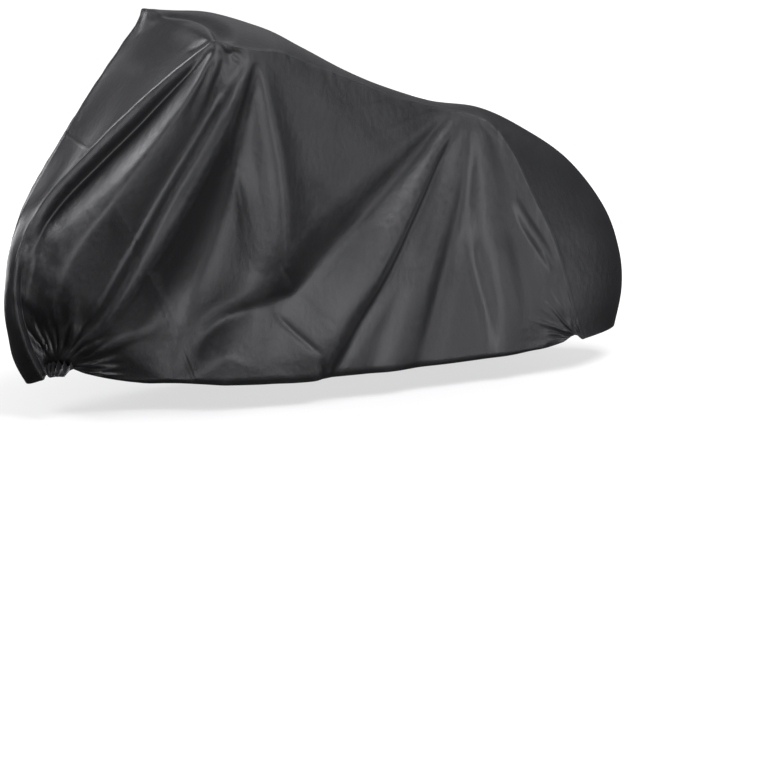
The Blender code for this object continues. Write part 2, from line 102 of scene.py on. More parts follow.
# A fold is a crest drawn from the top down. x and z are points of the crest, seen from the side; front and
# rear are how far its two flanks reach, and height is how far it lifts the sheet (below 0 it is a trough).
# Where a crest runs level to the rear instead, front is its lower flank and rear its upper one.
# sharp is 0 for a round fold and 1 for a creased one, and from there to 2 its flanks grow straight.
Crest = namedtuple("Crest", "x z front rear height")
Fold = namedtuple("Fold", "sharp crests")
NEAR_FOLDS = {
    "trough below the front seam": Fold(1.4, (
        Crest(-0.472, 1.000, 0.012, 0.020, 0.000),
        Crest(-0.519, 0.940, 0.020, 0.030, -0.014),
        Crest(-0.579, 0.867, 0.026, 0.040, -0.028),
        Crest(-0.654, 0.777, 0.029, 0.050, -0.037),
        Crest(-0.744, 0.678, 0.029, 0.054, -0.038),
        Crest(-0.824, 0.590, 0.026, 0.050, -0.032),
        Crest(-0.876, 0.519, 0.022, 0.042, -0.022),
        Crest(-0.913, 0.446, 0.018, 0.035, -0.011),
        Crest(-0.935, 0.380, 0.015, 0.025, 0.000),
    )),
    "lever fold": Fold(0.3, (
        Crest(-0.446, 1.030, 0.012, 0.014, 0.000),
        Crest(-0.472, 0.978, 0.024, 0.036, 0.014),
        Crest(-0.512, 0.895, 0.044, 0.070, 0.028),
        Crest(-0.580, 0.775, 0.074, 0.105, 0.046),
        Crest(-0.648, 0.675, 0.090, 0.135, 0.060),
        Crest(-0.716, 0.575, 0.100, 0.145, 0.067),
        Crest(-0.784, 0.475, 0.104, 0.160, 0.064),
        Crest(-0.836, 0.370, 0.098, 0.160, 0.052),
        Crest(-0.868, 0.260, 0.075, 0.130, 0.030),
        Crest(-0.885, 0.140, 0.035, 0.060, 0.000),
    )),
    "pleat to the front gather": Fold(1.6, (
        Crest(-0.350, 0.985, 0.015, 0.015, 0.000),
        Crest(-0.408, 0.870, 0.028, 0.040, 0.016),
        Crest(-0.468, 0.745, 0.036, 0.070, 0.032),
        Crest(-0.554, 0.575, 0.042, 0.100, 0.044),
        Crest(-0.636, 0.400, 0.044, 0.120, 0.046),
        Crest(-0.706, 0.270, 0.040, 0.115, 0.040),
        Crest(-0.788, 0.155, 0.030, 0.070, 0.024),
        Crest(-0.865, 0.085, 0.015, 0.015, 0.000),
    )),
    "crease along the pleat": Fold(1.5, (
        Crest(-0.352, 0.975, 0.008, 0.012, 0.000),
        Crest(-0.382, 0.870, 0.010, 0.020, 0.006),
        Crest(-0.432, 0.750, 0.012, 0.026, 0.009),
        Crest(-0.518, 0.580, 0.013, 0.030, 0.010),
        Crest(-0.612, 0.405, 0.012, 0.026, 0.008),
        Crest(-0.696, 0.272, 0.010, 0.018, 0.004),
        Crest(-0.750, 0.200, 0.008, 0.010, 0.000),
    )),
    "trough behind the pleat": Fold(0.1, (
        Crest(-0.336, 0.975, 0.015, 0.020, 0.000),
        Crest(-0.352, 0.840, 0.050, 0.050, -0.022),
        Crest(-0.380, 0.670, 0.095, 0.110, -0.050),
        Crest(-0.412, 0.515, 0.130, 0.160, -0.068),
        Crest(-0.450, 0.390, 0.155, 0.200, -0.072),
        Crest(-0.490, 0.280, 0.175, 0.200, -0.064),
        Crest(-0.512, 0.180, 0.180, 0.170, -0.044),
        Crest(-0.524, 0.090, 0.140, 0.110, -0.020),
        Crest(-0.530, 0.030, 0.050, 0.050, 0.000),
    )),
    "grip end fold": Fold(1, (
        Crest(-0.326, 0.978, 0.012, 0.030, 0.000),
        Crest(-0.298, 0.860, 0.055, 0.060, 0.010),
        Crest(-0.268, 0.720, 0.110, 0.100, 0.022),
        Crest(-0.248, 0.560, 0.150, 0.130, 0.030),
        Crest(-0.236, 0.430, 0.160, 0.130, 0.028),
        Crest(-0.220, 0.320, 0.110, 0.090, 0.010),
        Crest(-0.213, 0.262, 0.050, 0.030, 0.000),
    )),
    "valley from the saddle to the pedal": Fold(1.6, (
        Crest(0.392, 0.768, 0.015, 0.015, 0.000),
        Crest(0.300, 0.685, 0.045, 0.050, -0.010),
        Crest(0.210, 0.605, 0.075, 0.085, -0.018),
        Crest(0.070, 0.490, 0.120, 0.120, -0.026),
        Crest(-0.070, 0.380, 0.140, 0.150, -0.029),
        Crest(-0.165, 0.292, 0.130, 0.170, -0.028),
        Crest(-0.200, 0.268, 0.100, 0.185, -0.026),
        Crest(-0.330, 0.232, 0.055, 0.185, -0.020),
        Crest(-0.415, 0.190, 0.045, 0.160, -0.016),
        Crest(-0.462, 0.140, 0.035, 0.110, -0.011),
        Crest(-0.475, 0.085, 0.020, 0.030, 0.000),
    )),
    "saddle fold": Fold(0.2, (
        Crest(0.395, 0.755, 0.015, 0.015, 0.000),
        Crest(0.355, 0.700, 0.030, 0.022, 0.008),
        Crest(0.280, 0.610, 0.075, 0.030, 0.018),
        Crest(0.170, 0.460, 0.135, 0.042, 0.030),
        Crest(0.085, 0.340, 0.170, 0.050, 0.035),
        Crest(-0.015, 0.210, 0.195, 0.058, 0.034),
        Crest(-0.085, 0.090, 0.190, 0.060, 0.026),
        Crest(-0.135, 0.000, 0.180, 0.060, 0.016),
    )),
    "trough beside the saddle fold": Fold(0.7, (
        Crest(0.405, 0.745, 0.010, 0.012, 0.000),
        Crest(0.320, 0.610, 0.018, 0.026, -0.009),
        Crest(0.215, 0.440, 0.024, 0.034, -0.012),
        Crest(0.135, 0.310, 0.026, 0.042, -0.012),
        Crest(0.030, 0.170, 0.028, 0.042, -0.010),
        Crest(-0.060, 0.030, 0.026, 0.038, -0.002),
    )),
    "fold below the saddle": Fold(0.0, (
        Crest(0.415, 0.735, 0.015, 0.015, 0.000),
        Crest(0.365, 0.550, 0.045, 0.045, 0.008),
        Crest(0.295, 0.390, 0.065, 0.065, 0.013),
        Crest(0.210, 0.220, 0.075, 0.080, 0.015),
        Crest(0.130, 0.000, 0.080, 0.080, 0.010),
    )),
    "trough below the saddle": Fold(0.1, (
        Crest(0.425, 0.700, 0.015, 0.015, 0.000),
        Crest(0.405, 0.550, 0.035, 0.040, -0.005),
        Crest(0.345, 0.370, 0.045, 0.055, -0.006),
        Crest(0.285, 0.180, 0.050, 0.065, -0.007),
        Crest(0.240, 0.000, 0.050, 0.060, -0.003),
    )),
    "fold above the rear wheel": Fold(0.0, (
        Crest(0.455, 0.720, 0.020, 0.030, 0.000),
        Crest(0.470, 0.500, 0.060, 0.080, 0.014),
        Crest(0.490, 0.310, 0.080, 0.090, 0.020),
        Crest(0.520, 0.150, 0.080, 0.090, 0.017),
        Crest(0.530, 0.000, 0.080, 0.090, 0.008),
    )),
    "short trough above the rear hub": Fold(0.3, (
        Crest(0.405, 0.400, 0.020, 0.020, 0.000),
        Crest(0.430, 0.270, 0.030, 0.035, -0.006),
        Crest(0.455, 0.150, 0.030, 0.035, -0.007),
        Crest(0.465, 0.030, 0.025, 0.025, 0.000),
    )),
    "small fold by the rear seam": Fold(0.3, (
        Crest(0.560, 0.490, 0.015, 0.015, 0.000),
        Crest(0.600, 0.410, 0.020, 0.020, 0.008),
        Crest(0.650, 0.330, 0.020, 0.020, 0.008),
        Crest(0.690, 0.250, 0.015, 0.015, 0.000),
    )),
    "tuck above the hem": Fold(0.9, (
        Crest(-0.255, 0.220, 0.008, 0.008, 0.000),
        Crest(-0.205, 0.172, 0.011, 0.013, -0.006),
        Crest(-0.150, 0.122, 0.011, 0.013, -0.006),
        Crest(-0.108, 0.085, 0.008, 0.008, 0.000),
    )),
    "pinch at the hem": Fold(0.6, (
        Crest(-0.110, 0.085, 0.012, 0.012, 0.000),
        Crest(-0.098, 0.045, 0.016, 0.016, -0.006),
        Crest(-0.095, 0.010, 0.014, 0.014, -0.004),
    )),
    "dent towards the front gather": Fold(0.2, (
        Crest(-1.000, 0.460, 0.040, 0.060, 0.000),
        Crest(-0.990, 0.320, 0.060, 0.170, -0.022),
        Crest(-0.955, 0.190, 0.090, 0.230, -0.038),
        Crest(-0.890, 0.095, 0.110, 0.250, -0.036),
        Crest(-0.780, 0.035, 0.090, 0.200, -0.028),
        Crest(-0.660, 0.012, 0.090, 0.150, -0.012),
        Crest(-0.560, 0.008, 0.050, 0.060, 0.000),
    )),
    "hollow above the front hem": Fold(0.3, (
        Crest(-0.800, 0.030, 0.050, 0.060, 0.000),
        Crest(-0.720, 0.020, 0.060, 0.150, -0.028),
        Crest(-0.640, 0.010, 0.060, 0.200, -0.045),
        Crest(-0.560, 0.000, 0.060, 0.210, -0.040),
        Crest(-0.480, -0.010, 0.060, 0.180, -0.018),
        Crest(-0.400, -0.020, 0.040, 0.120, 0.000),
    )),
    "low line to the gather": Fold(0.4, (
        Crest(-0.580, 0.185, 0.015, 0.015, 0.000),
        Crest(-0.660, 0.170, 0.022, 0.018, 0.004),
        Crest(-0.740, 0.135, 0.022, 0.018, 0.006),
        Crest(-0.860, 0.080, 0.012, 0.012, 0.000),
    )),
    "steep line to the gather": Fold(0.4, (
        Crest(-0.810, 0.300, 0.015, 0.015, 0.000),
        Crest(-0.825, 0.210, 0.025, 0.020, 0.008),
        Crest(-0.845, 0.140, 0.020, 0.020, 0.008),
        Crest(-0.870, 0.080, 0.010, 0.010, 0.000),
    )),
    "pinch under the grip": Fold(1.0, (
        Crest(-0.432, 1.018, 0.006, 0.006, 0.000),
        Crest(-0.408, 1.004, 0.012, 0.010, -0.010),
        Crest(-0.378, 0.998, 0.006, 0.006, 0.000),
    )),
    "first fine crease behind the lever": Fold(0.8, (
        Crest(-0.450, 1.022, 0.006, 0.006, 0.000),
        Crest(-0.480, 0.960, 0.010, 0.012, 0.008),
        Crest(-0.512, 0.895, 0.011, 0.014, 0.009),
        Crest(-0.545, 0.815, 0.008, 0.010, 0.000),
    )),
    "second fine crease behind the lever": Fold(0.8, (
        Crest(-0.438, 1.015, 0.006, 0.006, 0.000),
        Crest(-0.458, 0.945, 0.010, 0.012, 0.008),
        Crest(-0.482, 0.870, 0.010, 0.012, 0.006),
        Crest(-0.510, 0.790, 0.008, 0.008, 0.000),
    )),
}
FAR_FOLDS = {
    "trough below the front seam": Fold(0.5, (
        Crest(-0.50, 0.98, 0.03, 0.03, 0.000),
        Crest(-0.64, 0.80, 0.05, 0.06, -0.024),
        Crest(-0.80, 0.60, 0.06, 0.06, -0.020),
        Crest(-0.90, 0.44, 0.05, 0.05, 0.000),
    )),
    "lever fold": Fold(0.2, (
        Crest(-0.44, 1.00, 0.03, 0.05, 0.000),
        Crest(-0.52, 0.78, 0.10, 0.09, 0.028),
        Crest(-0.66, 0.54, 0.13, 0.14, 0.038),
        Crest(-0.78, 0.30, 0.11, 0.12, 0.028),
        Crest(-0.86, 0.10, 0.05, 0.05, 0.006),
    )),
    "grip end fold": Fold(0.4, (
        Crest(-0.34, 0.97, 0.03, 0.03, 0.000),
        Crest(-0.35, 0.74, 0.07, 0.10, 0.016),
        Crest(-0.40, 0.46, 0.11, 0.15, 0.022),
        Crest(-0.46, 0.16, 0.11, 0.14, 0.022),
        Crest(-0.49, 0.02, 0.10, 0.12, 0.014),
    )),
    "frame fold": Fold(0.0, (
        Crest(-0.24, 0.94, 0.04, 0.04, 0.000),
        Crest(-0.14, 0.66, 0.09, 0.10, 0.012),
        Crest(-0.10, 0.36, 0.12, 0.12, 0.018),
        Crest(-0.12, 0.04, 0.12, 0.12, 0.014),
    )),
    "chain side trough": Fold(0.0, (
        Crest(0.16, 0.76, 0.04, 0.04, 0.000),
        Crest(0.10, 0.50, 0.10, 0.09, -0.016),
        Crest(0.04, 0.22, 0.10, 0.10, -0.012),
    )),
    "saddle fold": Fold(0.3, (
        Crest(0.38, 0.74, 0.03, 0.03, 0.000),
        Crest(0.30, 0.50, 0.08, 0.10, 0.026),
        Crest(0.20, 0.24, 0.11, 0.14, 0.036),
        Crest(0.14, 0.00, 0.12, 0.13, 0.024),
    )),
    "fold above the rear wheel": Fold(0.0, (
        Crest(0.46, 0.68, 0.04, 0.05, 0.000),
        Crest(0.50, 0.42, 0.09, 0.07, 0.022),
        Crest(0.47, 0.18, 0.11, 0.09, 0.030),
        Crest(0.42, 0.00, 0.10, 0.09, 0.020),
    )),
}
# On the gussets a crest is seen from above, with +X to the right: right and left are how far its flanks
# reach on either hand of one who follows it.
TopCrest = namedtuple("TopCrest", "x y right left height")
GUSSET_FOLDS = {
    "straighter line over the front wheel": Fold(0.0, (
        TopCrest(-0.990, 0.000, 0.060, 0.060, 0.000),
        TopCrest(-0.965, 0.000, 0.060, 0.060, 0.009),
        TopCrest(-0.925, 0.000, 0.070, 0.070, 0.004),
        TopCrest(-0.860, 0.000, 0.100, 0.100, -0.013),
        TopCrest(-0.770, 0.000, 0.160, 0.160, -0.014),
        TopCrest(-0.690, 0.000, 0.180, 0.180, -0.010),
        TopCrest(-0.600, 0.000, 0.180, 0.180, 0.000),
    )),
    "hook behind the brake lever": Fold(0.6, (
        TopCrest(-0.490, 0.200, 0.020, 0.020, 0.000),
        TopCrest(-0.478, 0.120, 0.020, 0.040, -0.006),
        TopCrest(-0.446, 0.010, 0.018, 0.052, -0.011),
        TopCrest(-0.422, -0.090, 0.018, 0.056, -0.014),
        TopCrest(-0.412, -0.190, 0.018, 0.056, -0.016),
        TopCrest(-0.426, -0.270, 0.016, 0.046, -0.014),
        TopCrest(-0.448, -0.325, 0.010, 0.020, -0.005),
    )),
    "brake lever": Fold(0.2, (
        TopCrest(-0.500, -0.060, 0.030, 0.030, 0.000),
        TopCrest(-0.480, -0.150, 0.040, 0.045, 0.006),
        TopCrest(-0.470, -0.230, 0.030, 0.040, 0.004),
        TopCrest(-0.470, -0.290, 0.020, 0.020, 0.000),
    )),
    "pinch by the near grip": Fold(0.8, (
        TopCrest(-0.515, -0.235, 0.010, 0.010, 0.000),
        TopCrest(-0.493, -0.270, 0.014, 0.012, -0.005),
        TopCrest(-0.468, -0.305, 0.010, 0.010, -0.004),
    )),
    "far brake lever": Fold(0.0, (
        TopCrest(-0.500, 0.060, 0.030, 0.030, 0.000),
        TopCrest(-0.490, 0.150, 0.045, 0.040, 0.008),
        TopCrest(-0.475, 0.240, 0.030, 0.030, 0.004),
    )),
    "dent behind the bar": Fold(0.0, (
        TopCrest(-0.330, 0.180, 0.050, 0.050, 0.000),
        TopCrest(-0.270, 0.040, 0.070, 0.070, -0.008),
        TopCrest(-0.200, -0.100, 0.050, 0.050, 0.000),
    )),
}

# Tight creases run out from where the cloth is drawn together or hangs from a point. inner and outer are how
# far from (x, z) they start and end, and rate is how many of them fill one radian.
Fan = namedtuple("Fan", "x z inner outer rate height seed")
NEAR_FANS = (
    Fan(-0.872, 0.076, 0.06, 0.20, 11.0, 0.0150, 3),     # front gather
    Fan(0.770, 0.040, 0.02, 0.22, 5.0, 0.0080, 5),       # rear gather
    Fan(-0.400, 1.060, 0.08, 0.45, 7.0, 0.0006, 7),      # grip and lever
    Fan(0.415, 0.790, 0.06, 0.55, 6.0, 0.0010, 8),       # saddle
)
FAR_FANS = (
    Fan(-0.872, 0.076, 0.02, 0.24, 5.0, 0.0080, 13),
    Fan(0.770, 0.040, 0.02, 0.22, 5.0, 0.0080, 15),
    Fan(-0.400, 1.060, 0.08, 0.60, 7.0, 0.0035, 17),
    Fan(0.415, 0.790, 0.06, 0.60, 6.0, 0.0030, 18),
)
FAN_SHIFT = 20          # moves the angles of a fan to where they are above 0
FAN_CHANGE = 1.3        # how soon its creases turn into other ones on the way out
CREASE_DEPTH = 2.2      # how much lower the sheet is between two creases, and how sharp a crease is
CREASE_POWER = 0.8
# Finer creases lie between those: their share, how many of them there are for one, and how soon they change.
FINE_SHARE, FINE_RATE, FINE_CHANGE, FINE_SEED = 0.3, 2.3, 2.0, 100
# Crumples are patches of small irregular dents: size is that of one dent.
Crumple = namedtuple("Crumple", "x z reach size height seed")
NEAR_CRUMPLES = (
    Crumple(-0.940, 0.450, 0.110, 0.020, 0.0130, 41),    # where the front seam meets the wheel
    Crumple(-0.945, 0.300, 0.110, 0.022, 0.0050, 42),
    Crumple(-0.405, 1.005, 0.050, 0.020, 0.0040, 43),    # under the grip
)
FAR_CRUMPLES = (
    Crumple(-0.930, 0.440, 0.140, 0.028, 0.0045, 51),
    Crumple(0.700, 0.250, 0.140, 0.035, 0.0050, 52),
)
DENT_HEIGHT = 1.6       # how much taller a dent is than wide
LINE_WIDTH, LINE_HEIGHT = 1.7, 2.5      # size of the slanting creases between the dents, in dents
LINE_DEPTH = 2.4        # how much lower the sheet is between two of those
CRUMPLE_EDGE = 1.2      # a crumpled patch has faded out at this many times its reach
UNEVEN = 0.0030         # soft unevenness of the whole sheet
UNEVEN_SIZE = 0.11      # width of its lumps, and how much they lean forward for their height
UNEVEN_LEAN = 0.3
UNEVEN_SEED = 21
TAUT = 0.75             # share of that which the gussets, drawn tight, don't have
TAUT_SHARE = 0.15       # share of the way down a side over which the same is true of it
PUCKER = 0.0013         # height, length and reach of the small waves that sewing leaves along a seam
PUCKER_LENGTH = 0.022
PUCKER_REACH = 0.030
PUCKER_CHANGE = 0.05    # how far from a seam those waves turn into other ones
PUCKER_SEED = 31
SEAM_RIDGE = 0.0026     # the turned-in edges inside a seam lift it
FRONT_PULL = -0.43      # in front of here, where the handlebar pulls the seams tight
FRONT_PULL_REACH = 0.1
SLACK_RIDGE = 0.25      # share of the ridge that is left behind there
CROSS_SEAM_RIDGE = 0.0011
SEAM_RIDGE_WIDTH = 0.006
SEAM_ROLL = 0.006       # how far from a seam, on its gusset, the ridge is highest
WORN_RIDGE = 0.0004     # a crease this much above the sheet round it has lost its shine
WORN_REACH = 0.008      # and so has the cloth this near to a seam or the hem
WORN_SEAM, WORN_HEM = 0.6, 0.8
NOISE_CELLS = 61        # lumps of the random table before it repeats
NOISE_SHIFT = 5         # moves the places of the cover to where its numbers are above 0

SEAM_GAP = 0.0003
SHARP_ANGLE = 60        # degrees between two faces from which their edge is sharp
THREAD_SINK = 0.15      # how deep a thread lies in the cloth, as a share of its width
SEAM_MARGIN = 0.04      # share of the way down a side over which its folds grow from the seam
GUSSET_MARGIN = 0.12
CREST_POINTS = 8        # straight steps between two rows of a fold
CREASE_RADIUS = 0.006
FOOT = 0.12             # half of the share of a straight flank that its curved foot takes up
LEAST_REACH = 0.001     # of a fold's flank
# Cells between one section and the next: more where the folds are close together.
ALONG_CELLS = (10, 10, 10, 12, 14, 16, 18, 18, 16, 18, 18, 18, 18, 16, 16, 16, 12, 12, 10, 10, 8, 8)
SIDE_CELLS, GUSSET_CELLS = 155, 96
SIDE_CROWDING, GUSSET_CROWDING = 0.4, 0.7       # how much closer the cells stand beside a seam and the hem
# Rows added beside the crosswise seam for its ridge, in sections from it.
BESIDE_CROSS_SEAM = (-0.05, -0.035, -0.02, -0.01, 0.01, 0.02, 0.035, 0.05)


def read_rows(rows, at):
    """Values of a table at fractional row numbers, along a smooth curve through its rows."""
    rows = np.asarray(rows, dtype=float)
    last = len(rows) - 1
    here = np.clip(np.floor(at).astype(int), 0, last - 1)
    part = (at - here)[..., None]
    before, start = rows[np.maximum(here - 1, 0)], rows[here]
    end, after = rows[here + 1], rows[np.minimum(here + 2, last)]
    bend = 2 * before - 5 * start + 4 * end - after
    twist = 3 * (start - end) + after - before
    return start + 0.5 * ((end - before) * part + bend * part ** 2 + twist * part ** 3)


def unit(vectors):
    """Vectors of length 1."""
    return vectors / np.maximum(np.linalg.norm(vectors, axis=-1, keepdims=True), 1e-12)


def soft_step(value):
    """0 below 0, 1 above 1, and smooth between."""
    value = np.clip(value, 0, 1)
    return value ** 2 * (3 - 2 * value)


def noise(u, v, seed):
    """Smooth random values between -1 and 1 over a plane, with one lump for each unit of it."""
    table = np.random.default_rng(seed).uniform(-1, 1, (NOISE_CELLS, NOISE_CELLS))
    first_u, first_v = np.floor(u).astype(int), np.floor(v).astype(int)
    part_u, part_v = soft_step(u - first_u), soft_step(v - first_v)
    rows = (first_u % NOISE_CELLS, (first_u + 1) % NOISE_CELLS)
    columns = (first_v % NOISE_CELLS, (first_v + 1) % NOISE_CELLS)
    low = table[rows[0], columns[0]] * (1 - part_u) + table[rows[1], columns[0]] * part_u
    high = table[rows[0], columns[1]] * (1 - part_u) + table[rows[1], columns[1]] * part_u
    return low * (1 - part_v) + high * part_v


def softened(values):
    """A grid of values with each one drawn halfway to the mean of its neighbours, along and then across."""
    for axis in (0, 1):
        edged = np.concatenate([np.take(values, [0], axis), values, np.take(values, [-1], axis)], axis)
        count = values.shape[axis]
        values = (
            np.take(edged, range(count), axis) + 2 * values + np.take(edged, range(2, count + 2), axis)
        ) / 4
    return values


def plain_sheet(along, across):
    """Points of the cover without folds.

    along counts the sections from the front hem. across is -2 at the near hem, -1 at the near seam, 0 on the
    ridge, 1 at the far seam and 2 at the far hem.
    """
    section = Section(*np.moveaxis(read_rows(SECTIONS, along), -1, 0))
    out = np.minimum(np.abs(across), 1)
    down = np.maximum(np.abs(across) - 1, 0)
    round_off = RIDGE_ROUND ** section.arch
    rise = 1 - (
        ((out ** 2 + RIDGE_ROUND ** 2) ** (section.arch / 2) - round_off)
        / ((1 + RIDGE_ROUND ** 2) ** (section.arch / 2) - round_off)
    )
    x = section.seam_x + (section.ridge_x - section.seam_x) * rise + (section.hem_x - section.seam_x) * down
    y = section.seam_y * out + (section.hem_y - section.seam_y) * down
    z = section.seam_z + (section.ridge_z - section.seam_z) * rise + (section.hem_z - section.seam_z) * down
    tilt = BAR_TILT * np.exp(-((along - BAR_SECTION) / BAR_REACH) ** 2)
    z = z + tilt * out * np.sign(across) * (1 - down)
    corner = FAR_CORNER * np.exp(-((along - FAR_CORNER_SECTION) / FAR_CORNER_REACH) ** 2)
    corner = corner * out * (across > 0) * np.maximum(1 - down / FAR_CORNER_DOWN, 0)
    x, z = x - corner / 2, z + corner
    return np.stack([x, y * np.sign(across), z], axis=-1)


def hem_tuck(along, across):
    """How far the elastic draws the cover in at its hem, which is less where a side is low."""
    section = Section(*np.moveaxis(read_rows(SECTIONS, along), -1, 0))
    share = np.clip((np.abs(across) - 2 + HEM_TUCK_SHARE) / HEM_TUCK_SHARE, 0, 1)
    return HEM_TUCK * soft_step((section.seam_z - section.hem_z) / HEM_TUCK_DROP) * share ** 2


def outward(points):
    """Unit directions out of a grid of points, halfway between those on either side of a crease."""
    steps = []
    for axis in (0, 1):
        legs = unit(np.diff(points, axis=axis))
        first, last = np.take(legs, [0], axis=axis), np.take(legs, [-1], axis=axis)
        padded = np.concatenate([first, legs, last], axis=axis)
        count = points.shape[axis]
        before = np.take(padded, range(count), axis=axis)
        after = np.take(padded, range(1, count + 1), axis=axis)
        steps.append(before + after)
    return unit(np.cross(steps[0], steps[1]))


def flank(rise, sharp):
    """Height of a fold's flank, from 0 at its foot to 1 on its crest, over an even rise from 0 to 1."""
    curved = rise ** 2 * (1 + 2 * (1 - rise) * (1 - min(sharp, 1)))
    straight = np.where(rise < 2 * FOOT, rise ** 2 / (4 * FOOT), rise - FOOT) / (1 - FOOT)
    return curved + (straight - curved) * max(sharp - 1, 0)


def fold_height(u, v, fold):
    """How far one fold lifts the sheet at points (u, v) of the view that its crests are drawn in."""
    at = np.linspace(0, len(fold.crests) - 1, (len(fold.crests) - 1) * CREST_POINTS + 1)
    line = read_rows(fold.crests, at)
    widest = line[:, 2:4].max()
    low, high = line[:, :2].min(axis=0) - widest, line[:, :2].max(axis=0) + widest
    close = (u > low[0]) & (u < high[0]) & (v > low[1]) & (v < high[1])
    lift = np.zeros(u.shape)
    if not close.any():
        return lift
    u, v = u[close], v[close]
    nearest = np.full(u.shape, np.inf)
    height = np.zeros(u.shape)
    for start, end in zip(line[:-1], line[1:]):
        step = end[:2] - start[:2]
        share = np.clip(((u - start[0]) * step[0] + (v - start[1]) * step[1]) / (step @ step), 0, 1)
        off_u, off_v = u - start[0] - share * step[0], v - start[1] - share * step[1]
        distance = np.hypot(off_u, off_v)
        front, rear, crest = (start[2:, None] + (end - start)[2:, None] * share)
        reach = np.maximum(np.where(step[0] * off_v - step[1] * off_u < 0, front, rear), LEAST_REACH)
        rounded = np.hypot(distance, CREASE_RADIUS) - CREASE_RADIUS
        here = crest * flank(np.clip(1 - rounded / reach, 0, 1), fold.sharp)
        closer = distance < nearest
        height = np.where(closer, here, height)
        nearest = np.where(closer, distance, nearest)
    lift[close] = height
    return lift


def fan_height(x, z, fan):
    """How far the creases of a fan lift the sheet."""
    radius = np.hypot(x - fan.x, z - fan.z)
    turn = np.arctan2(z - fan.z, x - fan.x) * fan.rate
    outwards = np.log(radius / fan.inner + 1)
    ends = soft_step(radius / fan.inner - 0.5) * soft_step((fan.outer - radius) / (fan.outer - fan.inner))
    wave = noise(turn + FAN_SHIFT, outwards * FAN_CHANGE, fan.seed)
    fine = noise(turn * FINE_RATE + FAN_SHIFT, outwards * FINE_CHANGE, fan.seed + FINE_SEED)
    crease = 1 - CREASE_DEPTH * np.abs(wave) ** CREASE_POWER
    return fan.height * ends * ((1 - FINE_SHARE) * crease + FINE_SHARE * fine)


def crumple_height(x, z, crumple):
    """How far the dents of a crumpled patch lift the sheet."""
    radius = np.hypot(x - crumple.x, z - crumple.z)
    u, v = (x + NOISE_SHIFT) / crumple.size, (z + NOISE_SHIFT) / crumple.size
    aslant = (x + z + NOISE_SHIFT) / crumple.size
    dents = noise(u, v / DENT_HEIGHT, crumple.seed)
    lines = noise(aslant / LINE_WIDTH, v / LINE_HEIGHT, crumple.seed + 1)
    creases = 1 - LINE_DEPTH * np.abs(lines)
    return crumple.height * soft_step(CRUMPLE_EDGE - radius / crumple.reach) * (dents + creases) / 2


def fold_lift(across, plain):
    """How far the folds, creases and crumples lift the sheet."""
    x, y, z = np.moveaxis(plain, -1, 0)
    off_seam = np.abs(across) - 1
    lift = np.zeros(across.shape)
    sides = (across < -1, NEAR_FOLDS, NEAR_FANS), (across > 1, FAR_FOLDS, FAR_FANS)
    for panel, folds, fans in sides:
        grown = soft_step(off_seam[panel] / SEAM_MARGIN)
        for fold in folds.values():
            lift[panel] += grown * fold_height(x[panel], z[panel], fold)
        for fan in fans:
            lift[panel] += grown * fan_height(x[panel], z[panel], fan)
    # Crumples run on over a seam, and fade on the gusset towards its ridge.
    for half, crumples in ((across < 0, NEAR_CRUMPLES), (across > 0, FAR_CRUMPLES)):
        fading = soft_step(np.abs(across[half])) ** 4
        for crumple in crumples:
            lift[half] += fading * crumple_height(x[half], z[half], crumple)
    gusset = off_seam < 0
    grown = soft_step(-off_seam[gusset] / GUSSET_MARGIN)
    for fold in GUSSET_FOLDS.values():
        lift[gusset] += grown * fold_height(x[gusset], y[gusset], fold)
    return softened(softened(lift))


def uneven_lift(across, plain):
    """The soft unevenness of the sheet, with less of it where the sheet is drawn tight."""
    x, y, z = np.moveaxis(plain, -1, 0)
    slack = 1 - TAUT * np.exp(-(np.maximum(np.abs(across) - 1, 0) / TAUT_SHARE) ** 2)
    u = (x + UNEVEN_LEAN * z + NOISE_SHIFT) / UNEVEN_SIZE
    v = (z + y + NOISE_SHIFT) / UNEVEN_SIZE
    return UNEVEN * slack * noise(u, v, UNEVEN_SEED)


